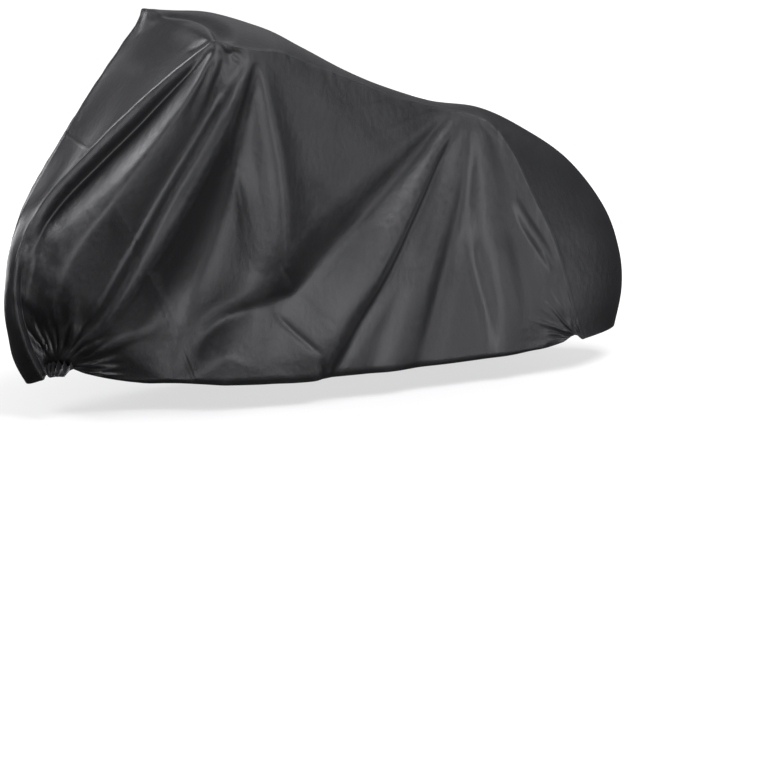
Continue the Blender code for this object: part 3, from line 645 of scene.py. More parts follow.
class Cover:
    """The whole outer face as one grid of points, from which the sewn pieces are cut.

    run is how far a point is from the front hem along the sheet, and reach how far from the near hem.
    """

    def __init__(self):
        self.near_seam = SIDE_CELLS
        self.far_seam = SIDE_CELLS + GUSSET_CELLS
        along, across = self.grid()
        plain = plain_sheet(along, across)
        steps = np.linalg.norm(np.diff(plain, axis=0, prepend=plain[:1]), axis=-1)
        self.run = np.cumsum(steps, axis=0)
        steps = np.linalg.norm(np.diff(plain, axis=1, prepend=plain[:, :1]), axis=-1)
        self.reach = np.cumsum(steps, axis=1)
        folds = fold_lift(across, plain)
        lift = folds + uneven_lift(across, plain) + self.seam_lift(across, plain[..., 0])
        self.points = plain + lift[..., None] * outward(plain)
        self.points[..., 1] -= np.sign(across) * hem_tuck(along, across)
        self.normals = outward(self.points)
        self.from_hem = np.minimum(
            np.minimum(self.reach, self.reach[:, -1:] - self.reach),
            np.minimum(self.run, self.run[-1:] - self.run),
        )
        self.worn = self.worn_share(folds)

    def grid(self):
        """Where the lines of points lie, in sections along and in panels across."""
        cells = np.cumsum((0, *ALONG_CELLS))
        along = np.interp(np.arange(cells[-1] + 1), cells, np.arange(len(cells)))
        along = np.union1d(along, np.add(CROSS_SEAM, BESIDE_CROSS_SEAM))
        side = np.linspace(0, 1, SIDE_CELLS + 1)
        side = side - SIDE_CROWDING * np.sin(2 * np.pi * side) / (2 * np.pi)
        gusset = np.linspace(-1, 1, GUSSET_CELLS + 1)
        gusset = gusset + GUSSET_CROWDING * np.sin(np.pi * gusset) / np.pi
        across = np.concatenate([-1 - side[::-1], gusset[1:-1], 1 + side])
        self.cross_row = np.searchsorted(along, CROSS_SEAM)
        return np.meshgrid(along, across, indexing="ij")

    def from_seams(self):
        """How far every point is from the near seam, and how far from the far one."""
        return [
            np.abs(self.reach - self.reach[:, seam:seam + 1]) for seam in (self.near_seam, self.far_seam)
        ]

    def seam_lift(self, across, x):
        """How far sewing lifts the cloth: puckers along the seams, and the turned-in edges inside them."""
        gusset = np.abs(across) < 1
        pulled = SLACK_RIDGE + (1 - SLACK_RIDGE) * soft_step((FRONT_PULL - x) / FRONT_PULL_REACH)
        lift = np.zeros(x.shape)
        for seam, distance in zip((self.near_seam, self.far_seam), self.from_seams()):
            u, v = self.run[:, seam:seam + 1] / PUCKER_LENGTH, distance / PUCKER_CHANGE
            lift += PUCKER * noise(u, v, PUCKER_SEED + seam) * np.exp(-distance / PUCKER_REACH)
            rolled = distance + np.where(gusset, -SEAM_ROLL, SEAM_ROLL)
            lift += SEAM_RIDGE * pulled * np.exp(-(rolled / SEAM_RIDGE_WIDTH) ** 2)
        above = self.run - self.run[self.cross_row]
        rolled = np.where(above < 0, -above - SEAM_ROLL, above + SEAM_ROLL)
        lift[gusset] += CROSS_SEAM_RIDGE * np.exp(-(rolled[gusset] / SEAM_RIDGE_WIDTH) ** 2)
        return lift

    def worn_share(self, folds):
        """How worn the coating is, from 0 to 1: on sharp creases and along the seams and the hem."""
        ridge = folds - softened(softened(softened(softened(folds))))
        from_seam = np.minimum(*self.from_seams())
        worn = np.clip(ridge / WORN_RIDGE, 0, 1)
        worn = worn + WORN_SEAM * np.exp(-from_seam / WORN_REACH)
        worn = worn + WORN_HEM * np.exp(-self.from_hem / WORN_REACH)
        return np.clip(worn, 0, 1)


def draw_back(points, edges):
    """Move the given edges of a grid of points into it by half the seam gap."""
    for edge, neighbour in edges:
        points[edge] += unit(points[neighbour] - points[edge]) * SEAM_GAP / 2
    return points


EVERY = slice(None)
FIRST_ROW, LAST_ROW = (0, 1), (-1, -2)
FIRST_COLUMN, LAST_COLUMN = ((EVERY, 0), (EVERY, 1)), ((EVERY, -1), (EVERY, -2))
SEWN_EDGES = {
    "side_panel_near": (LAST_COLUMN,),
    "side_panel_far": (FIRST_COLUMN,),
    "gusset_front": (FIRST_COLUMN, LAST_COLUMN, LAST_ROW),
    "gusset_top": (FIRST_COLUMN, LAST_COLUMN, FIRST_ROW),
}


def piece_part(cover, name):
    """The rows and columns of the cover's grid that a sewn piece is cut from."""
    rows = {"gusset_front": slice(0, cover.cross_row + 1), "gusset_top": slice(cover.cross_row, None)}
    columns = {
        "side_panel_near": slice(0, cover.near_seam + 1),
        "side_panel_far": slice(cover.far_seam, None),
    }
    return rows.get(name, EVERY), columns.get(name, slice(cover.near_seam, cover.far_seam + 1))


def closed_sheet(rows, columns):
    """Faces of a sheet on two grids of points, outer and then inner: those of the outer grid, and all."""
    number = np.arange(rows * columns).reshape(rows, columns)
    quads = np.stack([number[:-1, :-1], number[1:, :-1], number[1:, 1:], number[:-1, 1:]], axis=-1)
    quads = quads.reshape(-1, 4)
    rim = np.array([*number[:-1, 0], *number[-1, :-1], *number[:0:-1, -1], *number[0, :0:-1]])
    after = np.roll(rim, -1)
    walls = np.stack([after, rim, rim + number.size, after + number.size], axis=-1)
    return quads, np.concatenate([quads, quads[:, [0, 3, 2, 1]] + number.size, walls])


def sewn_piece(cover, name, thickness, hem_depth, materials):
    """One sewn piece of the cover as a closed thin sheet, with its outer and inner face in two materials."""
    part = piece_part(cover, name)
    outer = cover.points[part].copy()
    inner = outer - thickness * cover.normals[part]
    outer, inner = draw_back(outer, SEWN_EDGES[name]), draw_back(inner, SEWN_EDGES[name])
    quads, faces = closed_sheet(*outer.shape[:2])
    mesh = bpy.data.meshes.new(name)
    points = np.concatenate([outer.reshape(-1, 3), inner.reshape(-1, 3)])
    mesh.from_pydata(points.tolist(), [], faces.tolist())
    for material in materials:
        mesh.materials.append(material)
    # The hem is turned in, so the coating shows inside only from where the hem ends.
    from_hem = cover.from_hem[part].reshape(-1)[quads].mean(axis=1)
    inside = np.zeros(len(faces), dtype=np.int32)
    inside[len(quads):2 * len(quads)] = from_hem > hem_depth
    mesh.polygons.foreach_set("material_index", inside)
    places = np.stack([cover.run[part], cover.reach[part]], axis=-1).reshape(-1, 2)
    places = np.concatenate([places, places])[faces.reshape(-1)]
    mesh.uv_layers.new(name="cut").data.foreach_set("uv", places.reshape(-1))
    worn = np.tile(cover.worn[part].reshape(-1), 2)
    mesh.attributes.new("worn", "FLOAT", "POINT").data.foreach_set("value", worn)
    mesh.shade_smooth()
    mesh.set_sharp_from_angle(angle=math.radians(SHARP_ANGLE))
    piece = bpy.data.objects.new(name + "_cloth", mesh)
    bpy.context.scene.collection.objects.link(piece)
    return piece


def sew_pieces(names, cloth, hem_depth):
    """Build the named pieces, attach each to the body, and hide the solid that it stands for."""
    cover = Cover()
    materials = (
        bpy.data.materials.get("black_coated_cloth") or cloth_material(cloth),
        bpy.data.materials.get("silver_coating") or coating_material(cloth),
    )
    for name in names:
        piece = sewn_piece(cover, name, cloth.thickness, hem_depth, materials)
        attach(piece, BODY)
        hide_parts(name)


# ---------------------------------------------------------------------------------------------------------
# Stitches
# ---------------------------------------------------------------------------------------------------------
STITCH_SIDES, STITCH_RINGS = 6, 4
STITCH_UNEVENNESS = 0.12        # how much longer or shorter than most a stitch may be


def row_beside_seam(cover, seam, side, distance):
    """Places and outward directions along a seam, a distance from it. side is -1 on its near side."""
    if side < 0:
        columns = slice(seam, None, -1)
    else:
        columns = slice(seam, None)
    away = np.abs(cover.reach[:, columns] - cover.reach[:, seam:seam + 1])
    return row_across(away, cover.points[:, columns], cover.normals[:, columns], distance)


def row_beside_rim(cover, turn, distance):
    """Places and outward directions along one of the hem's four sides, a distance in from it."""
    away = {
        "near": cover.reach,
        "far": (cover.reach[:, -1:] - cover.reach)[:, ::-1],
        "front": cover.run.T,
        "rear": (cover.run[-1:] - cover.run)[::-1].T,
    }[turn]
    points, normals = {
        "near": (cover.points, cover.normals),
        "far": (cover.points[:, ::-1], cover.normals[:, ::-1]),
        "front": (cover.points.swapaxes(0, 1), cover.normals.swapaxes(0, 1)),
        "rear": (cover.points[::-1].swapaxes(0, 1), cover.normals[::-1].swapaxes(0, 1)),
    }[turn]
    return row_across(away, points, normals, distance)


def row_across(away, points, normals, distance):
    """Places and directions where each line of a grid has come the given distance from its first point."""
    places, directions = [], []
    for far, point, normal in zip(away, points, normals):
        places.append([np.interp(distance, far, point[:, axis]) for axis in range(3)])
        directions.append([np.interp(distance, far, normal[:, axis]) for axis in range(3)])
    return np.array(places), unit(np.array(directions))


def stitch_rows(cover, sewing):
    """Every row of stitches: both long seams, the crosswise seam and the hem."""
    beside, hem = sewing.seam_distance, sewing.hem_depth
    rows = [
        row_beside_seam(cover, cover.near_seam, -1, beside),
        row_beside_seam(cover, cover.near_seam, 1, beside),
        row_beside_seam(cover, cover.far_seam, -1, beside),
        row_beside_seam(cover, cover.far_seam, 1, beside),
    ]
    for turn in ("near", "far", "front", "rear"):
        rows.append(row_beside_rim(cover, turn, hem))
    gusset = slice(cover.near_seam + 1, cover.far_seam)
    for columns, steps in ((gusset, -1), (gusset, 1)):
        rows_from = slice(cover.cross_row, None, steps)
        away = np.abs(cover.run[rows_from, columns] - cover.run[cover.cross_row, columns]).T
        points = cover.points[rows_from, columns].swapaxes(0, 1)
        normals = cover.normals[rows_from, columns].swapaxes(0, 1)
        rows.append(row_across(away, points, normals, beside))
    return rows


def row_mesh(rows, sink):
    """Rows of stitches as lines, which lie a little deep in the cloth and carry its direction."""
    places, directions, edges = [], [], []
    count = 0
    for points, normals in rows:
        places.append(points - sink * normals)
        directions.append(normals)
        edges += [(count + index, count + index + 1) for index in range(len(points) - 1)]
        count += len(points)
    mesh = bpy.data.meshes.new("stitch_rows")
    mesh.from_pydata(np.concatenate(places).tolist(), edges, [])
    facing = mesh.attributes.new("facing", "FLOAT_VECTOR", "POINT")
    facing.data.foreach_set("vector", np.concatenate(directions).reshape(-1))
    return mesh


def stitch_tree():
    """Geometry nodes that lay a thread stitch at even steps along lines."""
    tree = bpy.data.node_groups.new("stitches_along_rows", "GeometryNodeTree")
    face = tree.interface
    face.new_socket(name="Geometry", in_out="INPUT", socket_type="NodeSocketGeometry")
    for name in ("Stitch Length", "Step", "Thread Width", "Unevenness"):
        face.new_socket(name=name, in_out="INPUT", socket_type="NodeSocketFloat")
    face.new_socket(name="Seed", in_out="INPUT", socket_type="NodeSocketInt")
    face.new_socket(name="Thread", in_out="INPUT", socket_type="NodeSocketMaterial")
    face.new_socket(name="Geometry", in_out="OUTPUT", socket_type="NodeSocketGeometry")
    new, link = tree.nodes.new, tree.links.new
    given, result = new("NodeGroupInput"), new("NodeGroupOutput")

    line = new("GeometryNodeMeshToCurve")
    link(given.outputs["Geometry"], line.inputs["Mesh"])
    even = new("GeometryNodeResampleCurve")
    even.mode = "LENGTH"
    link(line.outputs["Curve"], even.inputs["Curve"])
    link(given.outputs["Step"], even.inputs["Length"])

    along = new("GeometryNodeInputTangent")
    facing = new("GeometryNodeInputNamedAttribute")
    facing.data_type = "FLOAT_VECTOR"
    facing.inputs["Name"].default_value = "facing"
    lengthwise = new("FunctionNodeAlignRotationToVector")
    lengthwise.axis = "Z"
    link(along.outputs["Tangent"], lengthwise.inputs["Vector"])
    outwards = new("FunctionNodeAlignRotationToVector")
    outwards.axis, outwards.pivot_axis = "X", "Z"
    link(lengthwise.outputs["Rotation"], outwards.inputs["Rotation"])
    link(facing.outputs["Attribute"], outwards.inputs["Vector"])

    half_length, half_width = new("ShaderNodeMath"), new("ShaderNodeMath")
    for half, size in ((half_length, "Stitch Length"), (half_width, "Thread Width")):
        half.operation = "MULTIPLY"
        half.inputs[1].default_value = 0.5
        link(given.outputs[size], half.inputs[0])
    size = new("ShaderNodeCombineXYZ")
    link(half_width.outputs["Value"], size.inputs["X"])
    link(half_width.outputs["Value"], size.inputs["Y"])
    link(half_length.outputs["Value"], size.inputs["Z"])
    least, most = new("ShaderNodeMath"), new("ShaderNodeMath")
    least.operation, most.operation = "SUBTRACT", "ADD"
    for end in (least, most):
        end.inputs[0].default_value = 1.0
        link(given.outputs["Unevenness"], end.inputs[1])
    uneven = new("FunctionNodeRandomValue")
    uneven.data_type = "FLOAT"
    link(least.outputs["Value"], uneven.inputs["Min"])
    link(most.outputs["Value"], uneven.inputs["Max"])
    link(given.outputs["Seed"], uneven.inputs["Seed"])
    scaled = new("ShaderNodeVectorMath")
    scaled.operation = "SCALE"
    link(size.outputs["Vector"], scaled.inputs[0])
    link(uneven.outputs["Value"], scaled.inputs["Scale"])

    stitch = new("GeometryNodeMeshUVSphere")
    stitch.inputs["Segments"].default_value = STITCH_SIDES
    stitch.inputs["Rings"].default_value = STITCH_RINGS
    laid = new("GeometryNodeInstanceOnPoints")
    link(even.outputs["Curve"], laid.inputs["Points"])
    link(stitch.outputs["Mesh"], laid.inputs["Instance"])
    link(outwards.outputs["Rotation"], laid.inputs["Rotation"])
    link(scaled.outputs["Vector"], laid.inputs["Scale"])
    real = new("GeometryNodeRealizeInstances")
    link(laid.outputs["Instances"], real.inputs["Geometry"])
    smooth = new("GeometryNodeSetShadeSmooth")
    link(real.outputs["Geometry"], smooth.inputs["Geometry"])
    threaded = new("GeometryNodeSetMaterial")
    link(smooth.outputs["Geometry"], threaded.inputs["Geometry"])
    link(given.outputs["Thread"], threaded.inputs["Material"])
    link(threaded.outputs["Geometry"], result.inputs["Geometry"])
    return tree


def sew_rows(sewing):
    """Lay the stitches along their rows, and make them one plain mesh."""
    lines = row_mesh(stitch_rows(Cover(), sewing), sewing.thread_width * THREAD_SINK)
    rows = bpy.data.objects.new("stitch_rows", lines)
    bpy.context.scene.collection.objects.link(rows)
    tree = stitch_tree()
    modifier = rows.modifiers.new("stitches", "NODES")
    modifier.node_group = tree
    thread = thread_material(sewing)
    values = {
        "Stitch Length": sewing.stitch_length,
        "Step": sewing.stitch_length + sewing.stitch_gap,
        "Thread Width": sewing.thread_width,
        "Unevenness": STITCH_UNEVENNESS,
        "Seed": sewing.seed,
        "Thread": thread,
    }
    for socket in tree.interface.items_tree:
        if socket.name in values:
            modifier[socket.identifier] = values[socket.name]
    seen = rows.evaluated_get(bpy.context.evaluated_depsgraph_get())
    mesh = bpy.data.meshes.new_from_object(seen)
    rows.modifiers.clear()
    bpy.data.objects.remove(rows)
    bpy.data.meshes.remove(lines)
    stitches = bpy.data.objects.new("stitches", mesh)
    bpy.context.scene.collection.objects.link(stitches)
    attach(stitches, BODY)


# ---------------------------------------------------------------------------------------------------------
# Materials
# ---------------------------------------------------------------------------------------------------------
THREADS = 1600          # threads of the weave in a metre
# How many lumps a pattern has in a metre, and how high a relief is in metres.
SCUFF_SCALE, PATCH_SCALE, CLOUD_SCALE = 60, 5, 14
CREASE_SCALE, CRINKLE_SCALE = 8, 55
TWIST_SCALE, THREAD_SHADE_SCALE = 900, 180
WEAVE_RELIEF, CRINKLE_RELIEF, CREASE_RELIEF = 0.00004, 0.0010, 0.0006
COATED_WEAVE_RELIEF, COATED_CRINKLE_RELIEF = 0.00006, 0.0008
TWIST_RELIEF = 0.00008
UPRIGHT = (1.0, 1.0, 0.7)       # makes a pattern taller than wide
PATCH_SHADE, RUBBED_SHADE, THREAD_SHADE = 1.25, 0.7, 0.6    # times the colour itself
WORN_ROUGHNESS = 0.10   # added where the coating is worn


class Finish:
    """A material being made: its shader, and short ways to add and join nodes."""

    def __init__(self, name, color, roughness):
        self.material = bpy.data.materials.new(name)
        self.material.use_nodes = True
        self.nodes, self.links = self.material.node_tree.nodes, self.material.node_tree.links
        self.shader = self.nodes["Principled BSDF"]
        self.shader.inputs["Base Color"].default_value = (*color, 1.0)
        self.shader.inputs["Roughness"].default_value = roughness

    @cached_property
    def place(self):
        """Where a point lies on the object, in metres."""
        return self.nodes.new("ShaderNodeTexCoord").outputs["Object"]

    @cached_property
    def cut(self):
        """Where a point lies on the flat cut piece, in metres."""
        flat = self.nodes.new("ShaderNodeUVMap")
        flat.uv_map = "cut"
        return flat.outputs["UV"]

    def noise(self, place, scale, detail, stretch=(1.0, 1.0, 1.0), kind="FBM"):
        """Smooth random values with lumps of 1 / scale."""
        turned = self.nodes.new("ShaderNodeMapping")
        turned.inputs["Scale"].default_value = stretch
        self.links.new(place, turned.inputs["Vector"])
        lumps = self.nodes.new("ShaderNodeTexNoise")
        lumps.noise_type = kind
        lumps.inputs["Scale"].default_value = scale
        lumps.inputs["Detail"].default_value = detail
        self.links.new(turned.outputs["Vector"], lumps.inputs["Vector"])
        return lumps.outputs["Fac"]

    def ranged(self, value, start, end, least, most):
        """A value between start and end brought to between least and most."""
        change = self.nodes.new("ShaderNodeMapRange")
        change.inputs["From Min"].default_value = start
        change.inputs["From Max"].default_value = end
        change.inputs["To Min"].default_value = least
        change.inputs["To Max"].default_value = most
        self.links.new(value, change.inputs["Value"])
        return change.outputs["Result"]

    def math(self, operation, first, second):
        """Two values joined by a sum, a product or the like."""
        node = self.nodes.new("ShaderNodeMath")
        node.operation = operation
        for socket, value in zip(node.inputs, (first, second)):
            if isinstance(value, (int, float)):
                socket.default_value = value
            else:
                self.links.new(value, socket)
        return node.outputs["Value"]

    def mixed(self, share, first, second):
        """A colour between two, which are fixed or come from a node."""
        node = self.nodes.new("ShaderNodeMix")
        node.data_type = "RGBA"
        self.links.new(share, node.inputs["Factor"])
        for socket, color in ((node.inputs["A"], first), (node.inputs["B"], second)):
            if isinstance(color, tuple):
                socket.default_value = (*color, 1.0)
            else:
                self.links.new(color, socket)
        return node.outputs["Result"]

    def weave(self):
        """Height of the threads, which pass over and under each other along and across the cut piece."""
        bands = []
        for direction in ("X", "Y"):
            threads = self.nodes.new("ShaderNodeTexWave")
            threads.bands_direction = direction
            threads.inputs["Scale"].default_value = THREADS / math.tau
            self.links.new(self.cut, threads.inputs["Vector"])
            bands.append(threads.outputs["Fac"])
        return self.math("MULTIPLY", *bands)

    def bump(self, height, distance, under=None):
        """Raise the surface by a height of 0 to 1 times the distance, on top of another bump."""
        node = self.nodes.new("ShaderNodeBump")
        node.inputs["Distance"].default_value = distance
        self.links.new(height, node.inputs["Height"])
        if under:
            self.links.new(under, node.inputs["Normal"])
        return node.outputs["Normal"]


def cloth_material(cloth):
    """Polyester with a rain coating: fine weave, small crinkles, and dulled creases, seams and hem."""
    finish = Finish("black_coated_cloth", tuple(cloth.color), cloth.roughness)
    attribute = finish.nodes.new("ShaderNodeAttribute")
    attribute.attribute_name = "worn"
    scuffs = finish.ranged(finish.noise(finish.place, SCUFF_SCALE, 4), 0.35, 0.65, 0.3, 1.0)
    worn = finish.math("MULTIPLY", attribute.outputs["Fac"], scuffs)
    patches = finish.ranged(finish.noise(finish.place, PATCH_SCALE, 3), 0.3, 0.7, 0.0, 1.0)
    lighter = tuple(PATCH_SHADE * part for part in cloth.color)
    base = finish.mixed(patches, tuple(cloth.color), lighter)
    color = finish.mixed(worn, base, tuple(cloth.worn_color))
    finish.links.new(color, finish.shader.inputs["Base Color"])
    even = finish.ranged(patches, 0, 1, cloth.roughness - 0.02, cloth.roughness + 0.03)
    dulled = finish.math("MULTIPLY", worn, WORN_ROUGHNESS)
    finish.links.new(finish.math("ADD", even, dulled), finish.shader.inputs["Roughness"])
    creases = finish.noise(finish.place, CREASE_SCALE, 3, UPRIGHT, "RIDGED_MULTIFRACTAL")
    crinkles = finish.noise(finish.place, CRINKLE_SCALE, 3, UPRIGHT)
    normal = finish.bump(finish.weave(), WEAVE_RELIEF)
    normal = finish.bump(crinkles, CRINKLE_RELIEF * cloth.crinkle, normal)
    normal = finish.bump(creases, CREASE_RELIEF * cloth.crinkle, normal)
    finish.links.new(normal, finish.shader.inputs["Normal"])
    finish.shader.inputs["Sheen Weight"].default_value = 0.02
    finish.shader.inputs["Sheen Roughness"].default_value = 0.4
    return finish.material


def coating_material(cloth):
    """Silver coating on the inner face, through which the weave shows, cloudy and rubbed in places."""
    finish = Finish("silver_coating", tuple(cloth.coating_color), 0.4)
    clouds = finish.ranged(finish.noise(finish.place, CLOUD_SCALE, 5), 0.35, 0.7, 0.0, 1.0)
    rubbed = tuple(RUBBED_SHADE * part for part in cloth.coating_color)
    color = finish.mixed(clouds, tuple(cloth.coating_color), rubbed)
    finish.links.new(color, finish.shader.inputs["Base Color"])
    finish.links.new(finish.ranged(clouds, 0, 1, 0.34, 0.48), finish.shader.inputs["Roughness"])
    normal = finish.bump(finish.weave(), COATED_WEAVE_RELIEF)
    crinkles = finish.noise(finish.place, CRINKLE_SCALE, 3)
    normal = finish.bump(crinkles, COATED_CRINKLE_RELIEF, normal)
    finish.links.new(normal, finish.shader.inputs["Normal"])
    finish.shader.inputs["Metallic"].default_value = 0.3
    return finish.material


def thread_material(sewing):
    """Twisted polyester thread."""
    finish = Finish("sewing_thread", tuple(sewing.thread_color), 0.5)
    twist = finish.nodes.new("ShaderNodeTexWave")
    twist.bands_direction = "DIAGONAL"
    twist.inputs["Scale"].default_value = TWIST_SCALE
    finish.links.new(finish.place, twist.inputs["Vector"])
    twisted = finish.bump(twist.outputs["Fac"], TWIST_RELIEF)
    finish.links.new(twisted, finish.shader.inputs["Normal"])
    shade = finish.noise(finish.place, THREAD_SHADE_SCALE, 2)
    darker = tuple(THREAD_SHADE * part for part in sewing.thread_color)
    color = finish.mixed(shade, darker, tuple(sewing.thread_color))
    finish.links.new(color, finish.shader.inputs["Base Color"])
    finish.links.new(finish.ranged(shade, 0.3, 0.7, 0.42, 0.6), finish.shader.inputs["Roughness"])
    return finish.material


# ---------------------------------------------------------------------------------------------------------
# Stage
# ---------------------------------------------------------------------------------------------------------
CENTRE = Vector((0, 0, 0.5))
AIM = Vector((0.17, 0, -0.08))
CAMERA_AZIMUTH, CAMERA_ELEVATION, CAMERA_DISTANCE = -20.6, 11.0, 7.0
CAMERA_LENS, CAMERA_SENSOR = 109.5, 36
FLOOR_Z = -0.07
FLOOR_SIZE = 40
FLOOR_COLOR, FLOOR_ROUGHNESS = (0.15, 0.15, 0.15), 0.6
# Painted shadow: the floor glows less near the cover, more far off, and meets the white background without
# an edge.
PAINTED_SHADOW_STRETCH = (1.0, 1.7, 1.0)      # distances across the cover count for more than those along it
PAINTED_SHADOW_START, PAINTED_SHADOW_END = 0.4, 2.4
PAINTED_SHADOW_GLOW, GLOW_FAR = 0.66, 1.0
# A black card beside the front gather keeps the low lights off it.
CARD_SIZE = (0.8, 0.45, 1.0)
CARD_PLACE = (-1.30, -0.42, -0.06)
CARD_TURN = -50

# A softbox stands on a sphere round the cover. azimuth is from straight in front of the near side to +X.
Softbox = namedtuple("Softbox", "azimuth elevation distance width height power")
SOFTBOXES = {
    "key": Softbox(-90, 40, 6, 3, 2.5, 315),
    "back": Softbox(-112, 35, 6, 3, 2.5, 145),
    "left": Softbox(-50, -17, 6, 5, 2.0, 175),
    "top": Softbox(45, 65, 6, 3.5, 3, 900),
    "front": Softbox(4, -3, 6, 2.6, 5.0, 185),
    "right": Softbox(46, -5, 6, 3.8, 1.8, 57),
    "low": Softbox(25, -45, 6, 3, 2.5, 12),
    "rear": Softbox(160, 25, 6, 3, 2.5, 8),
    "far left": Softbox(-165, -3, 6, 4, 2, 85),
    "far right": Softbox(158, -12, 6, 4, 2, 125),
}


def on_sphere(azimuth, elevation, distance):
    """A place seen from the centre of the cover at the given angles in degrees."""
    turn, rise = math.radians(azimuth), math.radians(elevation)
    away = Vector((math.sin(turn) * math.cos(rise), -math.cos(turn) * math.cos(rise), math.sin(rise)))
    return CENTRE + distance * away


def place(name, data, location, target):
    """Add a camera or light that points at the target."""
    item = bpy.data.objects.new(name, data)
    bpy.context.scene.collection.objects.link(item)
    item.location = location
    item.rotation_euler = (target - location).to_track_quat("-Z", "Y").to_euler()
    return item


def add_floor():
    """A pale floor that takes the cover's shadow, plus a soft shadow painted in its emission near the cover,
    and gives it no light.
    """
    bpy.ops.mesh.primitive_plane_add(size=FLOOR_SIZE, location=(0, 0, FLOOR_Z))
    floor = bpy.context.object
    floor.name = "floor"
    finish = Finish("pale_floor_painted_shadow", FLOOR_COLOR, FLOOR_ROUGHNESS)
    shader = finish.shader
    shader.inputs["Emission Color"].default_value = (1, 1, 1, 1)
    shader.inputs["Specular IOR Level"].default_value = 0.0
    round_cover = finish.nodes.new("ShaderNodeMapping")
    round_cover.inputs["Scale"].default_value = PAINTED_SHADOW_STRETCH
    finish.links.new(finish.place, round_cover.inputs["Vector"])
    far = finish.nodes.new("ShaderNodeVectorMath")
    far.operation = "LENGTH"
    finish.links.new(round_cover.outputs["Vector"], far.inputs[0])
    # Weaker emission near the cover paints a soft shadow on the floor.
    glow_with_painted_shadow = finish.nodes.new("ShaderNodeMapRange")
    glow_with_painted_shadow.interpolation_type = "SMOOTHSTEP"
    glow_with_painted_shadow.inputs["From Min"].default_value = PAINTED_SHADOW_START
    glow_with_painted_shadow.inputs["From Max"].default_value = PAINTED_SHADOW_END
    glow_with_painted_shadow.inputs["To Min"].default_value = PAINTED_SHADOW_GLOW
    glow_with_painted_shadow.inputs["To Max"].default_value = GLOW_FAR
    finish.links.new(far.outputs["Value"], glow_with_painted_shadow.inputs["Value"])
    finish.links.new(glow_with_painted_shadow.outputs["Result"], shader.inputs["Emission Strength"])
    floor.data.materials.append(finish.material)
    floor.visible_glossy = False
    floor.visible_diffuse = False
    floor.visible_shadow = False


def add_black_card():
    """A card that only the lights see."""
    bpy.ops.mesh.primitive_plane_add(size=1, location=(0, 0, 0))
    card = bpy.context.object
    card.name = "black_card"
    card.scale = CARD_SIZE
    card.location = CARD_PLACE
    card.rotation_euler = (math.radians(90), 0, math.radians(CARD_TURN))
    card.data.materials.append(Finish("black_card", (0.0, 0.0, 0.0), 1.0).material)
    card.visible_camera = False


def add_camera():
    """The camera, which sees the near side and a little of the front."""
    camera = place(
        "camera",
        bpy.data.cameras.new("camera"),
        on_sphere(CAMERA_AZIMUTH, CAMERA_ELEVATION, CAMERA_DISTANCE),
        AIM,
    )
    camera.data.lens = CAMERA_LENS
    camera.data.sensor_width = CAMERA_SENSOR
    bpy.context.scene.camera = camera


def add_softboxes(color):
    """The softboxes, whose reflections show the folds."""
    for name, box in SOFTBOXES.items():
        lamp = bpy.data.lights.new(name, "AREA")
        lamp.shape = "RECTANGLE"
        lamp.size, lamp.size_y = box.width, box.height
        lamp.energy = box.power
        lamp.color = color
        place(name, lamp, on_sphere(box.azimuth, box.elevation, box.distance), CENTRE)


def add_world(ambient):
    """A white background that gives the cover only a dim light."""
    world = bpy.data.worlds.new("studio")
    bpy.context.scene.world = world
    world.use_nodes = True
    nodes, links = world.node_tree.nodes, world.node_tree.links
    white = nodes["Background"]
    white.inputs["Color"].default_value = (1, 1, 1, 1)
    white.inputs["Strength"].default_value = 1.0
    dim = nodes.new("ShaderNodeBackground")
    dim.inputs["Color"].default_value = (1, 1, 1, 1)
    dim.inputs["Strength"].default_value = ambient
    seen = nodes.new("ShaderNodeLightPath")
    mix = nodes.new("ShaderNodeMixShader")
    links.new(seen.outputs["Is Camera Ray"], mix.inputs["Fac"])
    links.new(dim.outputs["Background"], mix.inputs[1])
    links.new(white.outputs["Background"], mix.inputs[2])
    links.new(mix.outputs["Shader"], nodes["World Output"].inputs["Surface"])


def build_stage(studio):
    """The floor, the card, the camera, the lights and the world round the cover."""
    add_floor()
    add_black_card()
    add_camera()
    add_softboxes(studio.light_color)
    add_world(studio.ambient)
    bpy.context.scene.view_settings.view_transform = "Standard"


# ---------------------------------------------------------------------------------------------------------
# Add-on
# ---------------------------------------------------------------------------------------------------------
class CoverClothProperties(bpy.types.PropertyGroup):
    color: bpy.props.FloatVectorProperty(
        name="Outer Color", description="Colour of the coated outer face",
        subtype="COLOR", size=3, min=0, max=1, default=(0.008, 0.008, 0.0085),
    )
    coating_color: bpy.props.FloatVectorProperty(
        name="Coating Color", description="Colour of the silver coating on the inner face",
        subtype="COLOR", size=3, min=0, max=1, default=(0.45, 0.45, 0.46),
    )
    roughness: bpy.props.FloatProperty(
        name="Roughness", description="Roughness of the outer face",
        subtype="FACTOR", min=0, max=1, default=0.38,
    )
    thickness: bpy.props.FloatProperty(
        name="Thickness", description="Thickness of the shown cloth",
        unit="LENGTH", min=0.0003, max=0.003, default=0.001,
    )
    worn_color: bpy.props.FloatVectorProperty(
        name="Worn Color", description="Colour of creases, seams and hem where the coating is rubbed",
        subtype="COLOR", size=3, min=0, max=1, default=(0.018, 0.018, 0.019),
    )
    crinkle: bpy.props.FloatProperty(
        name="Crinkle", description="Strength of the small crinkles",
        min=0, max=4, default=1.0,
    )


